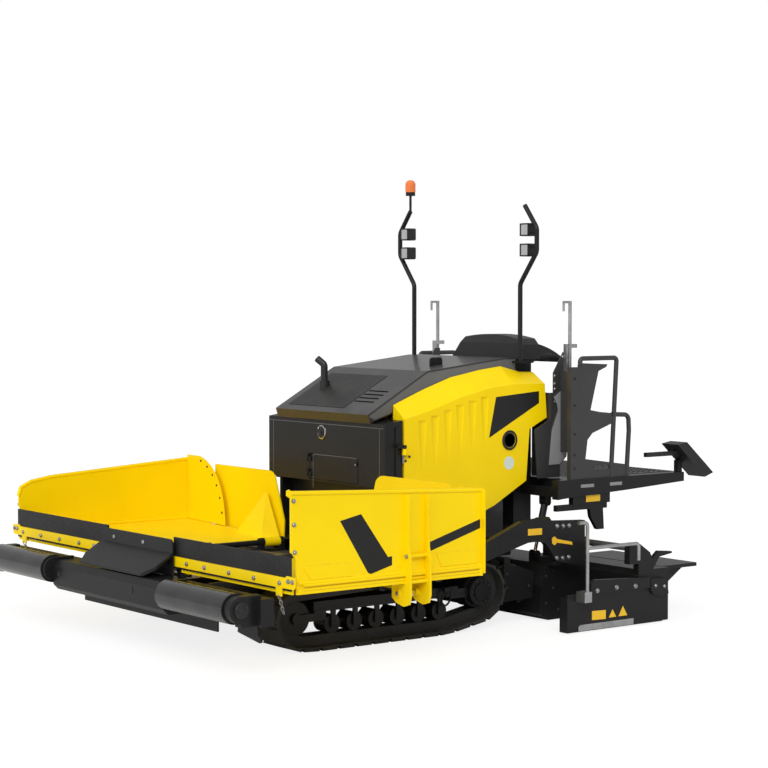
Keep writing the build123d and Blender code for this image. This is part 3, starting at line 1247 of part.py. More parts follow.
def tow_arm():
    outline = (
        (TOW_X + 20, TOW_Z + 56),
        (-83, 578),
        (-386, 692),
        (-523, 702),
        (-549, 709),
        (-584, 687),
        (-600, 709),
        (-622, 709),
        (-645, 681),
        (ARM_REAR_X, 668),
        (ARM_REAR_X, 366),
        (-717, 406),
        (-664, 443),
        (-620, 506),
        (-585, 541),
        (-524, 555),
        (-438, 552),
        (-242, 502),
        (-83, 457),
        (TOW_X + 20, TOW_Z - 56),
    )
    arm = plate_xz(outline, ARM_IN_Y, ARM_OUT_Y) + rod_y(ARM_IN_Y, ARM_OUT_Y, TOW_X, TOW_Z, 60)
    return arm - rod_y(ARM_IN_Y - 1, ARM_OUT_Y + 1, TOW_X, TOW_Z, TOW_PIN_R + FIT)


def screed_main():
    side = (
        (SCREED_FRONT_X, 50),
        (SCREED_FRONT_X, 236),
        (SCREED_FRONT_X - 50, SCREED_TOP_Z),
        (SCREED_REAR_X, SCREED_TOP_Z),
        (SCREED_REAR_X, SCREED_Z),
        (SCREED_FRONT_X - 68, SCREED_Z),
    )
    body = plate_xz(side, -SCREED_HALF, SCREED_HALF)
    for name, s in SIDES:
        body += sided(block(-890, -700, SCREED_HALF - 90, ARM_IN_Y, SCREED_TOP_Z, SCREED_TOP_Z + 46), s)
        for y in GUIDE_BLOCKS:
            x = GUIDE_X[name]
            guide = block(x - 34, x + 34, y, y + GUIDE_BLOCK_L, SCREED_TOP_Z, GUIDE_Z + 30)
            body += sided(guide - rod_y(y - 1, y + GUIDE_BLOCK_L + 1, x, GUIDE_Z, GUIDE_R + FIT), s)
        for side_y in (LIFT_Y - 34, LIFT_Y + 24):
            lug = block(LIFT_FOOT_X - 22, LIFT_FOOT_X + 22, side_y, side_y + 10, SCREED_TOP_Z, LIFT_FOOT_Z)
            lug += rod_y(side_y, side_y + 10, LIFT_FOOT_X, LIFT_FOOT_Z, 22)
            head_y = side_y - 6 if side_y < LIFT_Y else side_y + 10
            lug += rod_y(head_y, head_y + 6, LIFT_FOOT_X, LIFT_FOOT_Z, LIFT_PIN_R)
            body += sided(lug, s)
    return body


save(Compound([sided(tow_arm(), s) for _, s in SIDES]), "tow_arms")
save(screed_main(), "screed")

# ---- sliding screed extensions with end gate, guide rod and footboard ----
TOWER_T = 50.0
FOOTBOARD_REAR_X, FOOTBOARD_Z, FOOTBOARD_T = -1690.0, 334.0, 24.0


def extension(name):
    side = (
        (EXT_FRONT_X, SCREED_Z),
        (EXT_FRONT_X, 320),
        (EXT_FRONT_X - 40, 356),
        (EXT_REAR_X, 356),
        (EXT_REAR_X, SCREED_Z),
    )
    body = plate_xz(side, EXT_IN_Y, EXT_OUT_Y)
    x = GUIDE_X[name]
    y0 = EXT_OUT_Y - TOWER_T
    tower = (
        (x + GUIDE_R + 4, GUIDE_Z - 105),
        (x + GUIDE_R + 4, GUIDE_Z + 33),
        (-1111, 530),
        (-1203, 469),
        (-1221, 435),
        (-1221, 300),
        (-1100, 300),
        (-1100, GUIDE_Z - 105),
    )
    body += plate_xz(tower, y0, EXT_OUT_Y)
    step = ((-1215, 350), (-1215, 404), (-1295, 469), (-1416, 458), (-1416, 446), (-1300, 430), (-1240, 350))
    body += plate_xz(step, y0 + 10, EXT_OUT_Y - 10)
    gate = block(GATE_REAR_X, GATE_FRONT_X, EXT_OUT_Y, EXT_OUT_Y + GATE_T, SCREED_Z, GATE_TOP_Z)
    gate += block(GATE_FRONT_X - 16, GATE_FRONT_X, EXT_OUT_Y - 54, EXT_OUT_Y, SCREED_Z, GATE_TOP_Z - 25)
    bar = ((-649, 240), (-649, 314), (-684, 331), (-1184, 308), (-1184, 240))
    gate += plate_xz(bar, EXT_OUT_Y, EXT_OUT_Y + GATE_T + 12)
    latch = ((-1180, 222), (-1180, 300), (-1322, 290), (-1342, 189), (-1286, 174), (-1203, 194))
    gate += plate_xz(latch, EXT_OUT_Y, EXT_OUT_Y + GATE_T + 16)
    board_z = FOOTBOARD_Z + FOOTBOARD_T
    board = block(FOOTBOARD_REAR_X, EXT_REAR_X + 20, EXT_IN_Y, y0, FOOTBOARD_Z, board_z)
    for y in (EXT_IN_Y + 40, y0 - 60):
        strut = ((EXT_REAR_X, 180), (EXT_REAR_X, FOOTBOARD_Z), (EXT_REAR_X - 240, FOOTBOARD_Z))
        board += plate_xz(strut, y, y + 12)
    return body + gate + board


def level_arm():
    """Bent sensor tube standing on the end gate's front block."""
    y = EXT_OUT_Y + 90
    foot = block(-592, -530, EXT_OUT_Y + GATE_T + SEAT, y + 10, 205, 272)
    stand = bent_tube(((-560, y, 262), (-560, y, 715), (-485, y, 715)), 12, 24)
    rear = bent_tube(((-560, y, 550), (-1010, y, 550), (-1010, y, 440)), 12, 24)
    return foot + stand + rear


def guide_rod(name):
    x = GUIDE_X[name]
    rod = rod_y(GUIDE_IN_Y, EXT_OUT_Y - TOWER_T, x, GUIDE_Z, GUIDE_R)
    return Compound([rod, level_arm()])


for name, s in SIDES:
    save(sided(extension(name), s), f"screed_extension_{name}")
    save(sided(guide_rod(name), s), f"guide_rod_{name}")

# ---- lift cylinders between the platform and the screed ----
LIFT_BARREL_R, LIFT_BARREL_L, LIFT_ROD_R = 24.0, 205.0, 12.0
LIFT_EYE_R, LIFT_EYE_HALF = 20.0, 18.0
LIFT_SPAN = hypot(LIFT_FOOT_X - LIFT_TOP_X, LIFT_FOOT_Z - LIFT_TOP_Z)
LIFT_LEAN = degrees(atan2(LIFT_FOOT_X - LIFT_TOP_X, LIFT_TOP_Z - LIFT_FOOT_Z))


def on_lift_axis(shape):
    """Places a piece drawn hanging down from the top pin onto the cylinder's axis."""
    return Pos(LIFT_TOP_X, LIFT_Y, LIFT_TOP_Z) * Rot(0, -LIFT_LEAN, 0) * shape


def lift_barrel():
    barrel = rod_z(-LIFT_BARREL_L, -LIFT_EYE_R + 2, 0, 0, LIFT_BARREL_R)
    barrel += rod_y(-LIFT_EYE_HALF, LIFT_EYE_HALF, 0, 0, LIFT_EYE_R)
    barrel -= rod_z(-LIFT_BARREL_L - 1, -LIFT_EYE_R - 10, 0, 0, LIFT_ROD_R + FIT)
    return on_lift_axis(barrel - rod_y(-LIFT_EYE_HALF - 1, LIFT_EYE_HALF + 1, 0, 0, LIFT_PIN_R + FIT))


def lift_rod():
    rod = rod_z(-LIFT_SPAN + LIFT_EYE_R - 4, -LIFT_SPAN + 290, 0, 0, LIFT_ROD_R)
    rod = rod & rod_z(-LIFT_SPAN, -180, 0, 0, LIFT_ROD_R + 1)
    rod += Pos(0, 0, -LIFT_SPAN) * rod_y(-LIFT_EYE_HALF, LIFT_EYE_HALF, 0, 0, LIFT_EYE_R)
    return on_lift_axis(rod)


def lift_hanger():
    hanger = Part()
    z1 = PLAT_TOP_Z - PLAT_H - 40
    for y in (LIFT_Y - 34, LIFT_Y + 24):
        hanger += block(LIFT_TOP_X - 24, LIFT_TOP_X + 24, y, y + 10, LIFT_TOP_Z, z1)
        hanger += rod_y(y, y + 10, LIFT_TOP_X, LIFT_TOP_Z, 24)
    return hanger + rod_y(LIFT_Y - 34, LIFT_Y + 34, LIFT_TOP_X, LIFT_TOP_Z, LIFT_PIN_R)


save(platform() + sided(lift_hanger(), 1) + sided(lift_hanger(), -1), "platform")
save(Compound([sided(lift_barrel(), s) for _, s in SIDES]), "lift_barrels")
save(Compound([sided(lift_rod(), s) for _, s in SIDES]), "lift_rods")
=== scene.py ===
import bpy
import bmesh
import math
from mathutils import Matrix, Vector


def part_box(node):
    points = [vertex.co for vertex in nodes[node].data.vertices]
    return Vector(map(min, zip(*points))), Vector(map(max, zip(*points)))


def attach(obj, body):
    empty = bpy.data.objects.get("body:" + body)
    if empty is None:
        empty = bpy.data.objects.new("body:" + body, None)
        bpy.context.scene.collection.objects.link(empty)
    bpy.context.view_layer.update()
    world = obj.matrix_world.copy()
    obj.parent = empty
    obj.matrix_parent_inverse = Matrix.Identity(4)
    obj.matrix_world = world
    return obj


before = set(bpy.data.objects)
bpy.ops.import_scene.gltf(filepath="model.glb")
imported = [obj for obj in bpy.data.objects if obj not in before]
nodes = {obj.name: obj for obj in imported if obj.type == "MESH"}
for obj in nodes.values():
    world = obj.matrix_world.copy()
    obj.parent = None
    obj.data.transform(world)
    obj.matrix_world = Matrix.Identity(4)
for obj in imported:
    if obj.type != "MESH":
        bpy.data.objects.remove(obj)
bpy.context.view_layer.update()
SIDES = (("left", 1), ("right", -1))

# ---- Tracks ----
# Two endless tracks of cast links with black pads bolted on, driven at the rear and guided by a
# front idler and six rollers in a welded frame. They pick up pale dust on every upward face.


def dressed(name, colour, rough, metal=0.0, coat=0.0, dust=0.15, dust_colour=(0.30, 0.27, 0.23),
            wear=0.0, wear_colour=(0.45, 0.45, 0.45), tone=0.12, tone_scale=2.2, grain=160.0, bump=0.04,
            shine=0.35):
    """A finish with slow changes of tone, fine grain, dust lying on top and wear along the edges."""
    made = bpy.data.materials.new(name)
    made.use_nodes = True
    tree = made.node_tree
    shader = tree.nodes["Principled BSDF"]
    shader.inputs["Metallic"].default_value = metal
    shader.inputs["Specular IOR Level"].default_value = shine
    shader.inputs["Coat Weight"].default_value = coat
    shader.inputs["Coat Roughness"].default_value = 0.12
    place = tree.nodes.new("ShaderNodeTexCoord").outputs["Object"]

    def noise(scale, detail):
        node = tree.nodes.new("ShaderNodeTexNoise")
        node.inputs["Scale"].default_value = scale
        node.inputs["Detail"].default_value = detail
        tree.links.new(place, node.inputs["Vector"])
        return node.outputs["Fac"]

    def spread(value, low, high, to_low, to_high):
        node = tree.nodes.new("ShaderNodeMapRange")
        for key, number in zip(("From Min", "From Max", "To Min", "To Max"), (low, high, to_low, to_high)):
            node.inputs[key].default_value = number
        tree.links.new(value, node.inputs["Value"])
        return node.outputs["Result"]

    def blend(share, first, second):
        node = tree.nodes.new("ShaderNodeMix")
        node.data_type = "RGBA"
        tree.links.new(share, node.inputs["Factor"])
        for socket, what in ((node.inputs[6], first), (node.inputs[7], second)):
            if isinstance(what, tuple):
                socket.default_value = (*what, 1.0)
            else:
                tree.links.new(what, socket)
        return node.outputs[2]

    def times(first, second):
        node = tree.nodes.new("ShaderNodeMath")
        node.operation = "MULTIPLY"
        tree.links.new(first, node.inputs[0])
        tree.links.new(second, node.inputs[1])
        return node.outputs["Value"]

    slow = noise(tone_scale, 3.0)
    fine = noise(grain, 2.0)
    dark = tuple(c * (1 - tone) for c in colour)
    light = tuple(min(1.0, c * (1 + tone * 0.5)) for c in colour)
    shade = blend(spread(slow, 0.35, 0.65, 0.0, 1.0), dark, light)
    facing = tree.nodes.new("ShaderNodeNewGeometry").outputs["Normal"]
    if wear:
        round_off = tree.nodes.new("ShaderNodeBevel")
        round_off.samples = 4
        round_off.inputs["Radius"].default_value = 0.006
        turn = tree.nodes.new("ShaderNodeVectorMath")
        turn.operation = "DOT_PRODUCT"
        tree.links.new(round_off.outputs["Normal"], turn.inputs[0])
        tree.links.new(facing, turn.inputs[1])
        edge = spread(turn.outputs["Value"], 0.99, 0.90, 0.0, 1.0)
        chips = spread(noise(38.0, 4.0), 0.52, 0.62, 0.0, wear)
        shade = blend(times(edge, chips), shade, wear_colour)
    parts = tree.nodes.new("ShaderNodeSeparateXYZ")
    tree.links.new(facing, parts.inputs[0])
    on_top = spread(parts.outputs["Z"], 0.25, 0.95, 0.0, dust)
    patches = spread(noise(6.5, 5.0), 0.38, 0.68, 0.25, 1.0)
    shade = blend(times(on_top, patches), shade, dust_colour)
    tree.links.new(shade, shader.inputs["Base Color"])
    tree.links.new(spread(fine, 0.3, 0.7, rough - 0.06, rough + 0.08), shader.inputs["Roughness"])
    if bump:
        raised = tree.nodes.new("ShaderNodeBump")
        raised.inputs["Strength"].default_value = bump
        raised.inputs["Distance"].default_value = 0.002
        tree.links.new(fine, raised.inputs["Height"])
        tree.links.new(raised.outputs["Normal"], shader.inputs["Normal"])
    return made


def finish_nodes(material, *names):
    """Gives the frame's nodes their finish."""
    for name in names:
        mesh = nodes[name].data
        mesh.materials.clear()
        mesh.materials.append(material)


class Shape:
    """Points and faces of one piece, added form by form in millimetres."""

    def __init__(self):
        self.points, self.faces = [], []

    def rings(self, rings, close=True):
        """Skin over a row of rings with as many points each, capped at both ends."""
        start, count = len(self.points), len(rings[0])
        for ring in rings:
            self.points += [tuple(c * 0.001 for c in p) for p in ring]
        for k in range(len(rings) - 1):
            for i in range(count):
                j = (i + 1) % count
                a, b = start + k * count, start + (k + 1) * count
                self.faces.append((a + i, a + j, b + j, b + i))
        if close:
            last = start + (len(rings) - 1) * count
            self.faces.append(tuple(start + i for i in reversed(range(count))))
            self.faces.append(tuple(last + i for i in range(count)))

    def prism(self, axis, outline, low, high):
        """Outline in the plane across the axis, drawn from low to high along it."""
        def put(p, level):
            spot = list(p)
            spot.insert("xyz".index(axis), level)
            return spot
        self.rings([[put(p, low) for p in outline], [put(p, high) for p in outline]])

    def block(self, x0, x1, y0, y1, z0, z1):
        self.prism("z", ((x0, y0), (x1, y0), (x1, y1), (x0, y1)), z0, z1)

    def turned(self, axis, centre, profile, sides=16):
        """Body of revolution about an axis through centre: profile rows of distance along, radius."""
        n = "xyz".index(axis)
        rings = []
        for along, radius in profile:
            ring = []
            for k in range(sides):
                turn = 2 * math.pi * k / sides
                spot = [radius * math.cos(turn), radius * math.sin(turn)]
                spot.insert(n, along)
                ring.append([c + d for c, d in zip(centre, spot)])
            rings.append(ring)
        self.rings(rings)

    def bolt(self, axis, centre, size=20.0, way=1, head=None):
        """Hexagon head with its washer, standing way along the axis from centre."""
        head = head or size * 0.42
        r = size / 2
        self.turned(axis, centre, ((-1.0 * way, r * 1.35), (2.2 * way, r * 1.35)), 14)
        hexagon = ((1.0 * way, r * 1.12), (head * way, r * 1.12), ((head + 1.5) * way, r * 0.9))
        self.turned(axis, centre, hexagon, 6)

    def tube(self, route, r, sides=10, ring=False):
        """Round bar along a route of points."""
        places = [Vector(p) for p in route]
        rings = []
        side = None
        for k, spot in enumerate(places):
            before = places[k - 1] if k or ring else spot
            after = places[(k + 1) % len(places)] if k < len(places) - 1 or ring else spot
            along = (after - before).normalized()
            if side is None:
                side = along.orthogonal().normalized()
            side = (side - along * side.dot(along)).normalized()
            other = along.cross(side)
            turns = [2 * math.pi * i / sides for i in range(sides)]
            rings.append([spot + side * r * math.cos(turn) + other * r * math.sin(turn) for turn in turns])
        self.rings(rings + rings[:1] if ring else rings, close=not ring)

    def piece(self, name, body, material, slot=None, mirror=1):
        """Makes the piece, on the far side of the machine if mirror is -1."""
        mesh = bpy.data.meshes.new(name)
        mesh.from_pydata([(x, y * mirror, z) for x, y, z in self.points], [], self.faces)
        shaped = bmesh.new()
        shaped.from_mesh(mesh)
        bmesh.ops.remove_doubles(shaped, verts=shaped.verts, dist=1e-6)
        bmesh.ops.recalc_face_normals(shaped, faces=shaped.faces)
        shaped.to_mesh(mesh)
        shaped.free()
        made = bpy.data.objects.new(name, mesh)
        bpy.context.scene.collection.objects.link(made)
        mesh.materials.append(material)
        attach(made, body)
        return made


def corners(node):
    """Lowest and highest corner of a node, in millimetres."""
    return tuple(tuple(c * 1000 for c in corner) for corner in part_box(node))


def hoop(centre, a, b, lean=0.0, steps=16, plane="xz"):
    """Points round an oval ring in the xz or yz plane, leaning by an angle in degrees."""
    route = []
    for k in range(steps):
        turn = 2 * math.pi * k / steps
        u, v = a * math.cos(turn), b * math.sin(turn)
        c, s = math.cos(math.radians(lean)), math.sin(math.radians(lean))
        u, v = u * c - v * s, u * s + v * c
        along_x, along_y = (u, 0) if plane == "xz" else (0, u)
        route.append((centre[0] + along_x, centre[1] + along_y, centre[2] + v))
    return route


track_pads = dressed("track_pads", (0.026, 0.026, 0.0255), 0.55, dust=0.35, dust_colour=(0.10, 0.095, 0.085),
                     tone=0.3, grain=90.0, bump=0.25)
black_paint = dressed("black_paint", (0.0095, 0.0095, 0.0100), 0.40, coat=0.08, dust=0.08,
                      dust_colour=(0.06, 0.058, 0.055), wear=0.25, wear_colour=(0.07, 0.07, 0.07), shine=0.22)
bolt_steel = dressed("bolt_steel", (0.34, 0.34, 0.34), 0.34, metal=0.9, dust=0.1, tone=0.25, tone_scale=30.0)
black_bolt = dressed("black_bolt", (0.030, 0.030, 0.031), 0.42, metal=0.4, dust=0.1, tone=0.25,
                     tone_scale=30.0)
finish_nodes(track_pads, "track_left", "track_right")
finish_nodes(black_paint, "track_frame_left", "track_frame_right")

HUB_X, HUB_Z, HUB_BOLT_R, HUB_BOLTS = -143.0, 248.0, 74.0, 12
for name, s in SIDES:
    hub_y = corners(f"track_frame_{name}")[1][1] if s > 0 else -corners(f"track_frame_{name}")[0][1]
    ring = Shape()
    for k in range(HUB_BOLTS):
        turn = 2 * math.pi * k / HUB_BOLTS
        spot = (HUB_X + HUB_BOLT_R * math.cos(turn), hub_y - 10, HUB_Z + HUB_BOLT_R * math.sin(turn))
        ring.bolt("y", spot, 13)
    ring.piece(f"hub_bolts_{name}", "chassis", black_bolt, "black_paint", s)
    tie = Shape()
    tie.tube(hoop((138, 872, 232), 34, 52, 24), 6.5, ring=True)
    tie.block(120, 164, 856, 888, 276, 296)
    tie.piece(f"tie_ring_{name}", "chassis", black_paint, "black_paint", s)

# ---- Main frame, conveyor and augers ----
# Welded side plates with cross members carry everything else. The slat conveyor runs on a wear
# plate between the wings, and the augers spread the mix ahead of the screed.
worn_steel = dressed("worn_steel", (0.17, 0.165, 0.16), 0.42, metal=0.85, dust=0.3,
                     dust_colour=(0.05, 0.045, 0.04), tone=0.35, tone_scale=5.0, bump=0.12)
finish_nodes(black_paint, "main_frame", "frame_deck", "hinge_rails")
finish_nodes(black_paint, "wing_barrel_left", "wing_barrel_right", "lift_barrels")
finish_nodes(worn_steel, "conveyor", "auger_left", "auger_right")

GUARD_BOLTS = ((-372.0, 250.0), (-372.0, 340.0), (-560.0, 250.0))
for name, s in SIDES:
    bolts = Shape()
    for x, z in GUARD_BOLTS:
        bolts.bolt("y", (x, 868, z), 16)
    bolts.piece(f"auger_guard_bolts_{name}", "chassis", black_bolt, "black_paint", s)

# ---- Receiving hopper ----
# Two folding wings of pressed steel sheet, painted yellow, with a rubber flap clamped along the
# front edge by a bolted strip. The outer walls carry a black film, and end in a rolled double foot.
yellow_paint = dressed("yellow_paint", (0.93, 0.66, 0.001), 0.36, coat=0.06, shine=0.12, dust=0.04,
                       dust_colour=(0.70, 0.56, 0.22), wear=0.30, wear_colour=(0.45, 0.36, 0.14),
                       tone=0.04, grain=220.0, bump=0.02)
flap_rubber = dressed("flap_rubber", (0.0105, 0.0105, 0.0105), 0.50, dust=0.08,
                      dust_colour=(0.08, 0.075, 0.07), tone=0.25, grain=70.0, bump=0.12)
decal_film_and_painted_shade = dressed("decal_film_and_painted_shade", (0.013, 0.013, 0.0135), 0.42, shine=0.25, dust=0.04, tone=0.05, bump=0.01)
chrome = dressed("hard_chrome", (0.62, 0.62, 0.63), 0.12, metal=1.0, dust=0.05, tone=0.06, bump=0.0)
finish_nodes(yellow_paint, "hopper_wing_left", "hopper_wing_right", "hopper_rear_sheet")
finish_nodes(flap_rubber, "wing_flap_left", "wing_flap_right")
finish_nodes(chrome, "wing_rod_left", "wing_rod_right", "lift_rods")

WALL_Y, FILM = 1650.0, 0.8
STRIP_FACE_X = corners("wing_flap_left")[1][0] + 8
STRIP_BOLTS = ((562, 554), (758, 553), (1023, 552), (1284, 551), (1542, 552), (1628, 568), (1668, 568))
WALL_BOLTS = ((1853, 1016), (1851, 884), (1846, 730))
LUG_FACE_X = 1078.0
LUG_BOLTS = ((1672, 650), (1590, 428))
SLAB = ((1536, 884), (1389, 914), (1197, 655), (1168, 658), (1168, 606), (1319, 567), (1340, 575))
BAND = ((902, 716), (511, 828), (511, 774), (902, 661))
CORNER_ARC = ((1140, 590), (1182, 946), (1470, 1008))
CORNER_X, CORNER_SHEET = 508.0, 4.0
CORNER_POINTS = 12
FOOT_BARS = ((541, 1660), (517, 1654))
CHAIN_LINKS, CHAIN_STEP = 6, (-9, -5.5, -19)
for name, s in SIDES:
    body = f"wing_{name}"
    studs = Shape()
    for y, z in STRIP_BOLTS:
        studs.bolt("x", (STRIP_FACE_X, y, z), 21)
    for y, z in LUG_BOLTS:
        studs.bolt("x", (LUG_FACE_X, y, z), 26 if z < 500 else 20)
    for x, z in WALL_BOLTS:
        if name == "left" or z < 800:
            studs.bolt("y", (x, WALL_Y, z), 20)
    studs.piece(f"wing_bolts_{name}", body, bolt_steel, "zinc_steel", s)
    film = Shape()
    film.prism("y", SLAB, WALL_Y, WALL_Y + FILM)
    film.prism("y", BAND, WALL_Y, WALL_Y + FILM)
    film.piece(f"wing_film_{name}", body, decal_film_and_painted_shade, "black_paint", s)
    chain = Shape()
    way = Vector(CHAIN_STEP).normalized()
    for k in range(CHAIN_LINKS):
        spot = (STRIP_FACE_X - 4 - 9 * k, 1532 - 5.5 * k, 474 - 19 * k)
        flat = Vector((0, 1, 0)) if k % 2 else Vector((1, 0, 0))
        wide = (flat - way * flat.dot(way)).normalized()
        route = []
        for i in range(14):
            turn = 2 * math.pi * i / 14
            route.append(Vector(spot) + way * 15.5 * math.cos(turn) + wide * 8.5 * math.sin(turn))
        chain.tube(route, 2.8, 6, ring=True)
    chain.piece(f"lock_chain_{name}", body, bolt_steel, "zinc_steel", s)
    feet = Shape()
    for z, y in FOOT_BARS:
        feet.tube(((1790, y, z), (500, y, z)), 8, 12)
    feet.piece(f"wing_foot_bars_{name}", body, yellow_paint, "yellow_paint", s)
    arc = []
    for k in range(CORNER_POINTS + 1):
        t = k / CORNER_POINTS
        weights = ((1 - t) ** 2, 2 * t * (1 - t), t * t)
        y, z = (sum(w * p[i] for w, p in zip(weights, CORNER_ARC)) for i in (0, 1))
        arc.append((y, z))
    corner = Shape()
    outline = [(1136, 537)] + arc + [(1636, 1008), (1636, 552)]
    corner.prism("x", outline, CORNER_X, CORNER_X + CORNER_SHEET)
    corner.piece(f"wing_corner_sheet_{name}", body, yellow_paint, "yellow_paint", s)
    rivets = Shape()
    for k in (1, 3, 5, 7, 9, 11):
        y, z = arc[k]
        rivets.turned("x", (0, y + 28, z - 22), ((511, 8), (515, 8), (516.5, 5)), 10)
    rivets.piece(f"corner_rivets_{name}", body, black_bolt, "yellow_paint", s)

# ---- Push bar ----
# A heavy beam pivoted on the frame, with two steel rollers that push against the truck's tyres.
roller_steel = dressed("roller_steel", (0.045, 0.045, 0.046), 0.24, metal=0.6, coat=0.4, dust=0.05, tone=0.25,
                       tone_scale=6.0, bump=0.05)
finish_nodes(black_paint, "push_bar", "centre_apron")
finish_nodes(roller_steel, "push_roller_left", "push_roller_right")
APRON_FACE_X = 1892.0
ROLLER_X, ROLLER_Z = 2094.0, 410.0
apron = Shape()
for y, z in ((-275, 640), (82, 640)):
    apron.turned("x", (0, y, z), ((APRON_FACE_X - 1, 15), (APRON_FACE_X + 3, 14), (APRON_FACE_X + 6, 8)), 14)
apron.piece("apron_bolts", "chassis", bolt_steel, "zinc_steel")
bar = Shape()
for y, z in ((-600, 388), (300, 388)):
    bar.turned("x", (0, y, z), ((2103, 20), (2107, 20), (2107, 12), (2105.5, 11)), 18)
for y, z in ((1420, 250), (1345, 292)):
    bar.bolt("x", (1938, y, z), 16)
bar.piece("push_bar_bolts", "push_bar", black_bolt, "black_paint")
for name, s in SIDES:
    ends = Shape()
    ends.turned("y", (ROLLER_X, 0, ROLLER_Z), ((1485, 47), (1496, 47), (1496, 40), (1499, 38)), 24)
    for k in range(6):
        turn = math.pi * k / 3
        ends.bolt("y", (ROLLER_X + 28 * math.cos(turn), 1498, ROLLER_Z + 28 * math.sin(turn)), 9)
    ends.piece(f"roller_end_cap_{name}", "push_bar", black_bolt, "black_paint", s)

# ---- Bodywork ----
# Front box, hood and two hinged side doors of painted sheet stand on the frame deck around the
# engine, with the rear housing bolted on behind. The doors are yellow, everything else near black.
grey_paint = dressed("grey_paint", (0.026, 0.026, 0.027), 0.36, coat=0.25, dust=0.08, bump=0.03)
# A paler copy of the grey paint, used only for painted highlights on the box edges and the hood's shoulders.
painted_highlight_grey = dressed("painted_highlight_grey", (0.115, 0.115, 0.117), 0.42, coat=0.1, dust=0.05, bump=0.03)
engine_iron = dressed("engine_iron", (0.06, 0.06, 0.06), 0.6, dust=0.3, tone=0.3, bump=0.2)
dark_steel = dressed("dark_steel", (0.030, 0.030, 0.030), 0.38, metal=0.5, dust=0.1, tone=0.25, bump=0.06)
black_plastic = dressed("black_plastic", (0.0135, 0.0135, 0.014), 0.46, dust=0.06, grain=260.0, bump=0.1)
sticker = dressed("sticker", (0.62, 0.72, 0.62), 0.4, dust=0.02, tone=0.04, bump=0.0)
finish_nodes(black_paint, "front_box", "service_door", "rear_housing")
finish_nodes(grey_paint, "hood")
finish_nodes(yellow_paint, "side_door_left", "side_door_right")
finish_nodes(engine_iron, "engine")
finish_nodes(dark_steel, "exhaust_stack")

LATCH_CENTRE = (0, -31, 1253)
latch = Shape()
latch.turned("x", LATCH_CENTRE, ((462, 48), (469, 46), (471, 41), (466, 39)), 32)
latch.piece("box_latch_ring", "chassis", chrome, "chrome")
lock = Shape()
lock.turned("x", LATCH_CENTRE, ((466, 38), (467.5, 38), (467.5, 20), (473, 18), (475, 12)), 28)
lock.block(473, 478, -38, -24, 1236, 1270)
lock.piece("box_latch_lock", "chassis", black_bolt, "black_paint")
# Thin pale grey strips along the box's top edge, its sides and the service panel outline are painted
# highlights, where light catches the bent sheet edges.
panel = Shape()
for y0, y1, z0, z1 in (
    (-134, 357, 1100, 1104), (-134, -130, 880, 1104), (-600, -596, 950, 1310), (596, 600, 950, 1310)
):
    panel.block(462.5, 464, y0, y1, z0, z1)
panel.block(462.5, 465, -640, 640, 1306, 1310)
panel.piece("box_edge_highlights", "chassis", painted_highlight_grey, "grey_paint")
stud = Shape()
stud.bolt("x", (463, 347, 1060), 16)
stud.piece("box_panel_bolt", "chassis", bolt_steel, "zinc_steel")

HOOD_SIDE = (
    (488, 1382), (12, 1650), (-640, 1724), (-738, 1724), (-738, 1582),
    (-520, 1618), (-153, 1568), (72, 1508), (322, 1396), (444, 1358),
)
HOOD_FRONT_X, HOOD_FRONT_Z, HOOD_CREST_X, HOOD_CREST_Z = 500, 1392, 14, 1662
hood_slope = math.atan2(HOOD_CREST_Z - HOOD_FRONT_Z, HOOD_FRONT_X - HOOD_CREST_X)
front_panel = Shape()
near_edge = []
for along, lift in ((60, 0.0), (60, 3.0), (470, 3.0), (470, 0.0)):
    x = HOOD_FRONT_X - along * math.cos(hood_slope) + (lift - 0.5) * math.sin(hood_slope)
    z = HOOD_FRONT_Z + along * math.sin(hood_slope) + (lift - 0.5) * math.cos(hood_slope)
    near_edge.append((x, z))
front_panel.prism("y", near_edge, -440, 190)
front_panel.piece("hood_front_panel", "chassis", black_plastic, "black_plastic")
top_plate = Shape()
TOP_PLATE = ((-183, 1682), (-183, 1728), (-196, 1741), (-272, 1741), (-285, 1728), (-285, 1692))
top_plate.prism("y", TOP_PLATE, 292, 304)
top_plate.piece("hood_top_plate", "chassis", black_paint, "black_paint")
DOOR_Y = 662.0
DOOR_FILM = ((-451, 1484), (-828, 1513), (-828, 1433), (-391, 1216))
VENT_X, VENT_Z, STICKER_Z = -565, 1195, 1043
VENT_RING = ((668, 66), (671, 66), (674, 62), (674, 52), (660, 49), (640, 46), (640, 40), (668, 42))
for name, s in SIDES:
    door = f"side_door_{name}"
    # A pale grey band on each side of the hood is a painted highlight, standing in for light on the hood's
    # sloped shoulder.
    flank = Shape()
    flank.prism("y", HOOD_SIDE, 519.5, 521)
    flank.piece(f"hood_shoulder_highlight_{name}", "chassis", painted_highlight_grey, "grey_paint", s)
    film = Shape()
    film.prism("y", DOOR_FILM, DOOR_Y, DOOR_Y + FILM)
    film.piece(f"door_film_{name}", door, decal_film_and_painted_shade, "black_paint", s)
    disc = Shape()
    disc.turned("y", (VENT_X, 0, STICKER_Z), ((DOOR_Y, 44), (DOOR_Y + 0.8, 44)), 32)
    disc.piece(f"door_sticker_{name}", door, sticker, None, s)
    ring = Shape()
    ring.turned("y", (VENT_X, 0, VENT_Z), VENT_RING, 32)
    ring.piece(f"door_vent_ring_{name}", door, black_plastic, "black_plastic", s)
    hinge = Shape()
    hinge.block(318, 329, 655, 664, 1082, 1146)
    hinge.piece(f"door_hinge_plate_{name}", door, bolt_steel, "zinc_steel", s)
    holes = Shape()
    for x, z in ((304, 1146), (272, 1124), (304, 1098)):
        holes.turned("y", (x, 0, z), ((DOOR_Y, 9), (DOOR_Y + 1.2, 9)), 12)
    holes.piece(f"door_hinge_bolts_{name}", door, black_bolt, "black_paint", s)

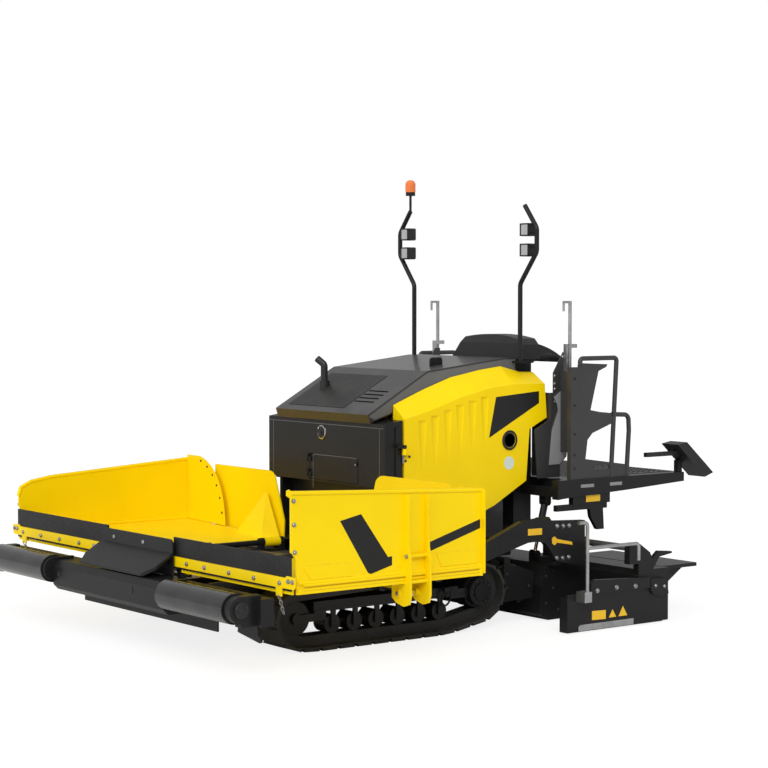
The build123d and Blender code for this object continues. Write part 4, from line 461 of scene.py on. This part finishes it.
# ---- Platform ----
# The operator's deck of tread plate lies on two side beams bolted to the frame. It carries the
# guards and rails, the swept console, two tube masts with work lamps and a beacon on one of them.
guard_paint = dressed("guard_paint", (0.035, 0.035, 0.0355), 0.42, coat=0.1, dust=0.06, bump=0.03)
panel_grey = dressed("panel_grey", (0.26, 0.26, 0.262), 0.45, dust=0.06, bump=0.04)
zinc_plate = dressed("zinc_plate", (0.42, 0.42, 0.43), 0.30, metal=0.9, dust=0.1, tone=0.15,
                     tone_scale=14.0, bump=0.04)
lamp_glass = dressed("lamp_glass", (0.55, 0.56, 0.57), 0.12, metal=0.6, coat=0.8, dust=0.0, tone=0.1,
                     bump=0.0)
plate_yellow = dressed("plate_yellow", (0.85, 0.50, 0.02), 0.42, dust=0.05, tone=0.05, bump=0.01)
orange_lens = dressed("orange_lens", (0.82, 0.20, 0.045), 0.22, coat=0.6, dust=0.03, tone=0.08, bump=0.0)
finish_nodes(black_paint, "platform", "light_masts")
finish_nodes(guard_paint, "side_guards")
finish_nodes(zinc_plate, "spindles")
finish_nodes(black_plastic, "console", "remote_console", "work_lamps")
finish_nodes(orange_lens, "beacon")

lamp_low, lamp_high = corners("work_lamps")
LAMP_ZS = (2455.0, 2590.0)
BEZEL = ((607, 694, 34, 42), (607, 694, -42, -34), (607, 616, -42, 42), (685, 694, -42, 42))
SIDE_PANEL = (
    (-925, 1470), (-1083, 1572), (-1041, 1072), (-984, 1018), (-884, 1017), (-909, 1248),
    (-966, 1381), (-957, 1422),
)
COVER = ((-262, 905), (-250, 893), (-250, 575), (-275, 550), (-535, 550), (-560, 575), (-560, 905))
COVER_PAD = ((-290, 870), (-290, 600), (-520, 600), (-520, 870))
for name, s in SIDES:
    glass = Shape()
    for z in LAMP_ZS:
        pane = ((617, z - 34), (684, z - 34), (684, z + 34), (617, z + 34))
        glass.prism("x", pane, lamp_high[0] - 1, lamp_high[0] + 2)
    glass.piece(f"lamp_glass_{name}", "chassis", lamp_glass, "chrome", s)
    frame_ring = Shape()
    for z in LAMP_ZS:
        for y0, y1, z0, z1 in BEZEL:
            frame_ring.block(lamp_high[0] - 2, lamp_high[0] + 5, y0, y1, z + z0, z + z1)
        for k in range(5):
            frame_ring.block(lamp_low[0] - 5, lamp_low[0] + 2, 618, 684, z - 30 + 14 * k, z - 24 + 14 * k)
    frame_ring.piece(f"lamp_bezels_{name}", "chassis", black_plastic, "black_plastic", s)
    guard_bolts = Shape()
    for x, z in ((-910, 1613), (-911, 1526), (-938, 1560), (-1010, 1740)):
        guard_bolts.bolt("y", (x if x < -931 else -940, 694, z), 17)
    for x, z in ((-935, 1440), (-1000, 1120), (-1030, 1300)):
        guard_bolts.bolt("y", (x, 700, z), 12)
    guard_bolts.piece(f"bracket_bolts_{name}", "chassis", bolt_steel, "zinc_steel", s)
    post_bolts = Shape()
    for z in (1000, 1090, 1230, 1420, 1600):
        post_bolts.bolt("y", (-961, 872, z), 13)
    post_bolts.piece(f"pillar_bolts_{name}", "chassis", black_bolt, "black_paint", s)
    pale = Shape()
    pale.prism("y", SIDE_PANEL, 699.5, 701.5)
    pale.piece(f"side_panel_{name}", "chassis", panel_grey, "grey_paint", s)
    cover = Shape()
    cover.prism("y", COVER, 600, 606)
    cover.prism("y", COVER_PAD, 605.5, 609)
    cover.piece(f"lower_side_cover_{name}", "chassis", grey_paint, "black_paint", s)
    close = Shape()
    close.block(-909.5, -906, 502, 690, 930, 1500)
    close.block(-945, -909, 680, 683.5, 930, 1500)
    close.piece(f"dash_side_return_{name}", "chassis", guard_paint, "black_paint", s)
    blank = Shape()
    blank.block(-1203, -1074, 861.5, 863, 768, 812)
    blank.piece(f"tray_plate_{name}", "chassis", plate_yellow, "yellow_paint", s)
    marks = Shape()
    for x0, x1 in ((-1130, -1011), (-1389, -1277)):
        marks.block(x0, x1, 879.5, 880.6, 868, 890)
    marks.piece(f"beam_plates_{name}", "chassis", panel_grey, "grey_paint", s)

tread = Shape()
MAT_REAR_X, MAT_FRONT_X, MAT_HALF = -1965.0, -1090.0, 750.0
MAT_TOP, BAR_LONG, BAR_WIDE, BAR_PITCH = 928.0, 26.0, 6.0, 40.0
row = 0
x = MAT_REAR_X + 30
while x < MAT_FRONT_X - 30:
    y = -MAT_HALF + (row % 2) * BAR_PITCH / 2
    while y < MAT_HALF:
        half_x, half_y = (BAR_LONG / 2, BAR_WIDE / 2) if row % 2 else (BAR_WIDE / 2, BAR_LONG / 2)
        tread.block(x - half_x, x + half_x, y - half_y, y + half_y, MAT_TOP - 0.5, MAT_TOP + 1.6)
        y += BAR_PITCH
    x += BAR_PITCH / 2 + 6
    row += 1
tread.piece("platform_tread", "chassis", black_paint, "black_paint")

ribs = Shape()
beacon_low, beacon_high = corners("beacon")
bx, by = (beacon_low[0] + beacon_high[0]) / 2, (beacon_low[1] + beacon_high[1]) / 2
for k in range(4):
    z = beacon_low[2] + 8 + 14 * k
    ribs.turned("z", (bx, by, 0), ((z, 36), (z + 2, 38), (z + 5, 38), (z + 7, 36)), 28)
ribs.piece("beacon_ribs", "chassis", orange_lens, "orange_lens")

# ---- Screed ----
# The towed steel screed is pinned to the frame by two long arms. An extension with an end gate and
# footboard slides on guide tubes at each side. Bolted plates carry blank yellow labels.
finish_nodes(black_paint, "tow_arms", "screed", "screed_extension_left", "screed_extension_right")
finish_nodes(zinc_plate, "guide_rod_left", "guide_rod_right")

ARM_Y, GATE_Y = 1000.0, 1360.0
ARM_TAG = (
    (-646, 570), (-668, 578), (-690, 560), (-822, 532),
    (-826, 512), (-690, 536), (-668, 520), (-646, 534),
)
ARM_BOLTS = ((-689, 645), (-742, 642), (-795, 641), (-686, 435), (-738, 431), (-792, 433))
for name, s in SIDES:
    arm = Shape()
    for x, z in ARM_BOLTS:
        arm.bolt("y", (x, ARM_Y, z), 22)
    arm.piece(f"tow_arm_bolts_{name}", "screed", bolt_steel, "zinc_steel", s)
    pin = Shape()
    pin.turned("y", (300, 0, 420), ((1000, 44), (1008, 44), (1008, 26), (1013, 24)), 24)
    pin.piece(f"tow_pin_washer_{name}", "screed", black_bolt, "black_paint", s)
    # A thin black sliver on each tow arm is painted shade: the dark inside of a slot, drawn as film on the
    # arm's face. The same black film also serves for the real black decals on the wings and doors.
    slot_shade = Shape()
    slot_shade.prism("y", ((-236, 612), (-285, 590), (-285, 583), (-236, 604)), ARM_Y - 0.5, ARM_Y + 0.6)
    slot_shade.piece(f"tow_arm_slot_shade_{name}", "screed", decal_film_and_painted_shade, "black_paint", s)
    plates = Shape()
    plates.prism("y", ((-437, 642), (-558, 640), (-558, 598), (-437, 600)), ARM_Y - 0.5, ARM_Y + 0.8)
    plates.piece(f"tow_arm_plate_{name}", "screed", plate_yellow, "yellow_paint", s)
    key = Shape()
    key.prism("y", ARM_TAG, ARM_Y - 0.5, ARM_Y + 0.8)
    key.piece(f"tow_arm_tag_{name}", "screed", plate_yellow, "yellow_paint", s)
    gate = Shape()
    gate.prism("y", ((-667, 132), (-788, 128), (-788, 70), (-667, 74)), GATE_Y - 0.5, GATE_Y + 0.8)
    gate.prism("y", ((-815, 76), (-848, 128), (-880, 76)), GATE_Y - 0.5, GATE_Y + 0.8)
    gate.prism("y", ((-900, 76), (-940, 140), (-980, 76)), GATE_Y - 0.5, GATE_Y + 0.8)
    gate.piece(f"gate_plates_{name}", f"extension_{name}", plate_yellow, "yellow_paint", s)
    strip = Shape()
    strip.prism("y", ((-560, 52), (-1032, 52), (-1032, 12), (-548, 12), (-548, 40)), GATE_Y - 0.5, GATE_Y + 4)
    strip.piece(f"gate_wear_strip_{name}", f"extension_{name}", zinc_plate, "zinc_steel", s)
    heads = Shape()
    for x, z in ((-1039, 262), (-700, 262), (-870, 268)):
        heads.bolt("y", (x, 1372, z), 24)
    for x, z in ((-1220, 250), (-1300, 240)):
        heads.bolt("y", (x, 1376, z), 18)
    heads.piece(f"gate_bolts_{name}", f"extension_{name}", bolt_steel, "zinc_steel", s)
    side = Shape()
    for x, z in ((-764, 217), (-809, 73), (-763, 337), (-700, 120), (-700, 300)):
        side.bolt("y", (x, 880, z), 16)
    side.piece(f"screed_side_bolts_{name}", "screed", black_bolt, "black_paint", s)

# ---- Ground, light and camera ----
# A white studio floor that keeps a soft shadow, under an even sky and two broad, distant lamps.
ground = bpy.data.meshes.new("ground")
ground.from_pydata([(-60, -60, 0), (60, -60, 0), (60, 60, 0), (-60, 60, 0)], [], [(0, 1, 2, 3)])
floor = bpy.data.objects.new("ground", ground)
bpy.context.scene.collection.objects.link(floor)
pale = bpy.data.materials.new("pale_floor")
pale.use_nodes = True
pale_tree = pale.node_tree
matt = pale_tree.nodes["Principled BSDF"]
matt.inputs["Base Color"].default_value = (0.84, 0.84, 0.84, 1)
matt.inputs["Roughness"].default_value = 0.95
matt.inputs["Specular IOR Level"].default_value = 0.0
glow = pale_tree.nodes.new("ShaderNodeEmission")
glow.inputs["Color"].default_value = (1, 1, 1, 1)
glow.inputs["Strength"].default_value = 1.15
seen = pale_tree.nodes.new("ShaderNodeLightPath")
share = pale_tree.nodes.new("ShaderNodeMath")
share.operation = "MULTIPLY"
share.inputs[1].default_value = 0.72
pale_tree.links.new(seen.outputs["Is Camera Ray"], share.inputs[0])
both = pale_tree.nodes.new("ShaderNodeMixShader")
pale_tree.links.new(share.outputs["Value"], both.inputs[0])
pale_tree.links.new(matt.outputs[0], both.inputs[1])
pale_tree.links.new(glow.outputs[0], both.inputs[2])
pale_tree.links.new(both.outputs[0], pale_tree.nodes["Material Output"].inputs["Surface"])
ground.materials.append(pale)

world = bpy.data.worlds.new("studio")
bpy.context.scene.world = world
world.use_nodes = True
sky = world.node_tree
sky_light = sky.nodes["Background"]
sky_light.inputs["Color"].default_value = (1, 1, 1, 1)
sky_light.inputs["Strength"].default_value = 0.55
sky_white = sky.nodes.new("ShaderNodeBackground")
sky_white.inputs["Color"].default_value = (1, 1, 1, 1)
sky_white.inputs["Strength"].default_value = 1.0
sky_ray = sky.nodes.new("ShaderNodeLightPath")
sky_mix = sky.nodes.new("ShaderNodeMixShader")
sky.links.new(sky_ray.outputs["Is Camera Ray"], sky_mix.inputs[0])
sky.links.new(sky_light.outputs[0], sky_mix.inputs[1])
sky.links.new(sky_white.outputs[0], sky_mix.inputs[2])
sky.links.new(sky_mix.outputs[0], sky.nodes["World Output"].inputs["Surface"])


def far_lamp(name, place, spread, power):
    """A lamp so far off that it lights both sides of the machine alike."""
    lamp = bpy.data.lights.new(name, "SUN")
    lamp.angle = math.radians(spread)
    lamp.energy = power
    holder = bpy.data.objects.new(name, lamp)
    bpy.context.scene.collection.objects.link(holder)
    holder.location = place
    holder.rotation_euler = (-Vector(place)).to_track_quat("-Z", "Y").to_euler()


far_lamp("key_lamp", (6.0, 9.0, 8.0), 30, 1.5)
far_lamp("front_lamp", (12.0, 1.0, 6.0), 40, 0.95)

YAW, PITCH = math.radians(52.797), math.radians(2.45)
eye = bpy.data.cameras.new("eye")
eye.sensor_width = 36.0
eye.lens = 2024.86 * 36.0 / 768.0
eye_holder = bpy.data.objects.new("eye", eye)
bpy.context.scene.collection.objects.link(eye_holder)
eye_holder.location = (8.193, 10.828, 2.14)
looking = Vector((-math.cos(YAW) * math.cos(PITCH), -math.sin(YAW) * math.cos(PITCH), -math.sin(PITCH)))
eye_holder.rotation_euler = looking.to_track_quat("-Z", "Y").to_euler()
bpy.context.scene.camera = eye_holder
bpy.context.scene.view_settings.view_transform = "Standard"
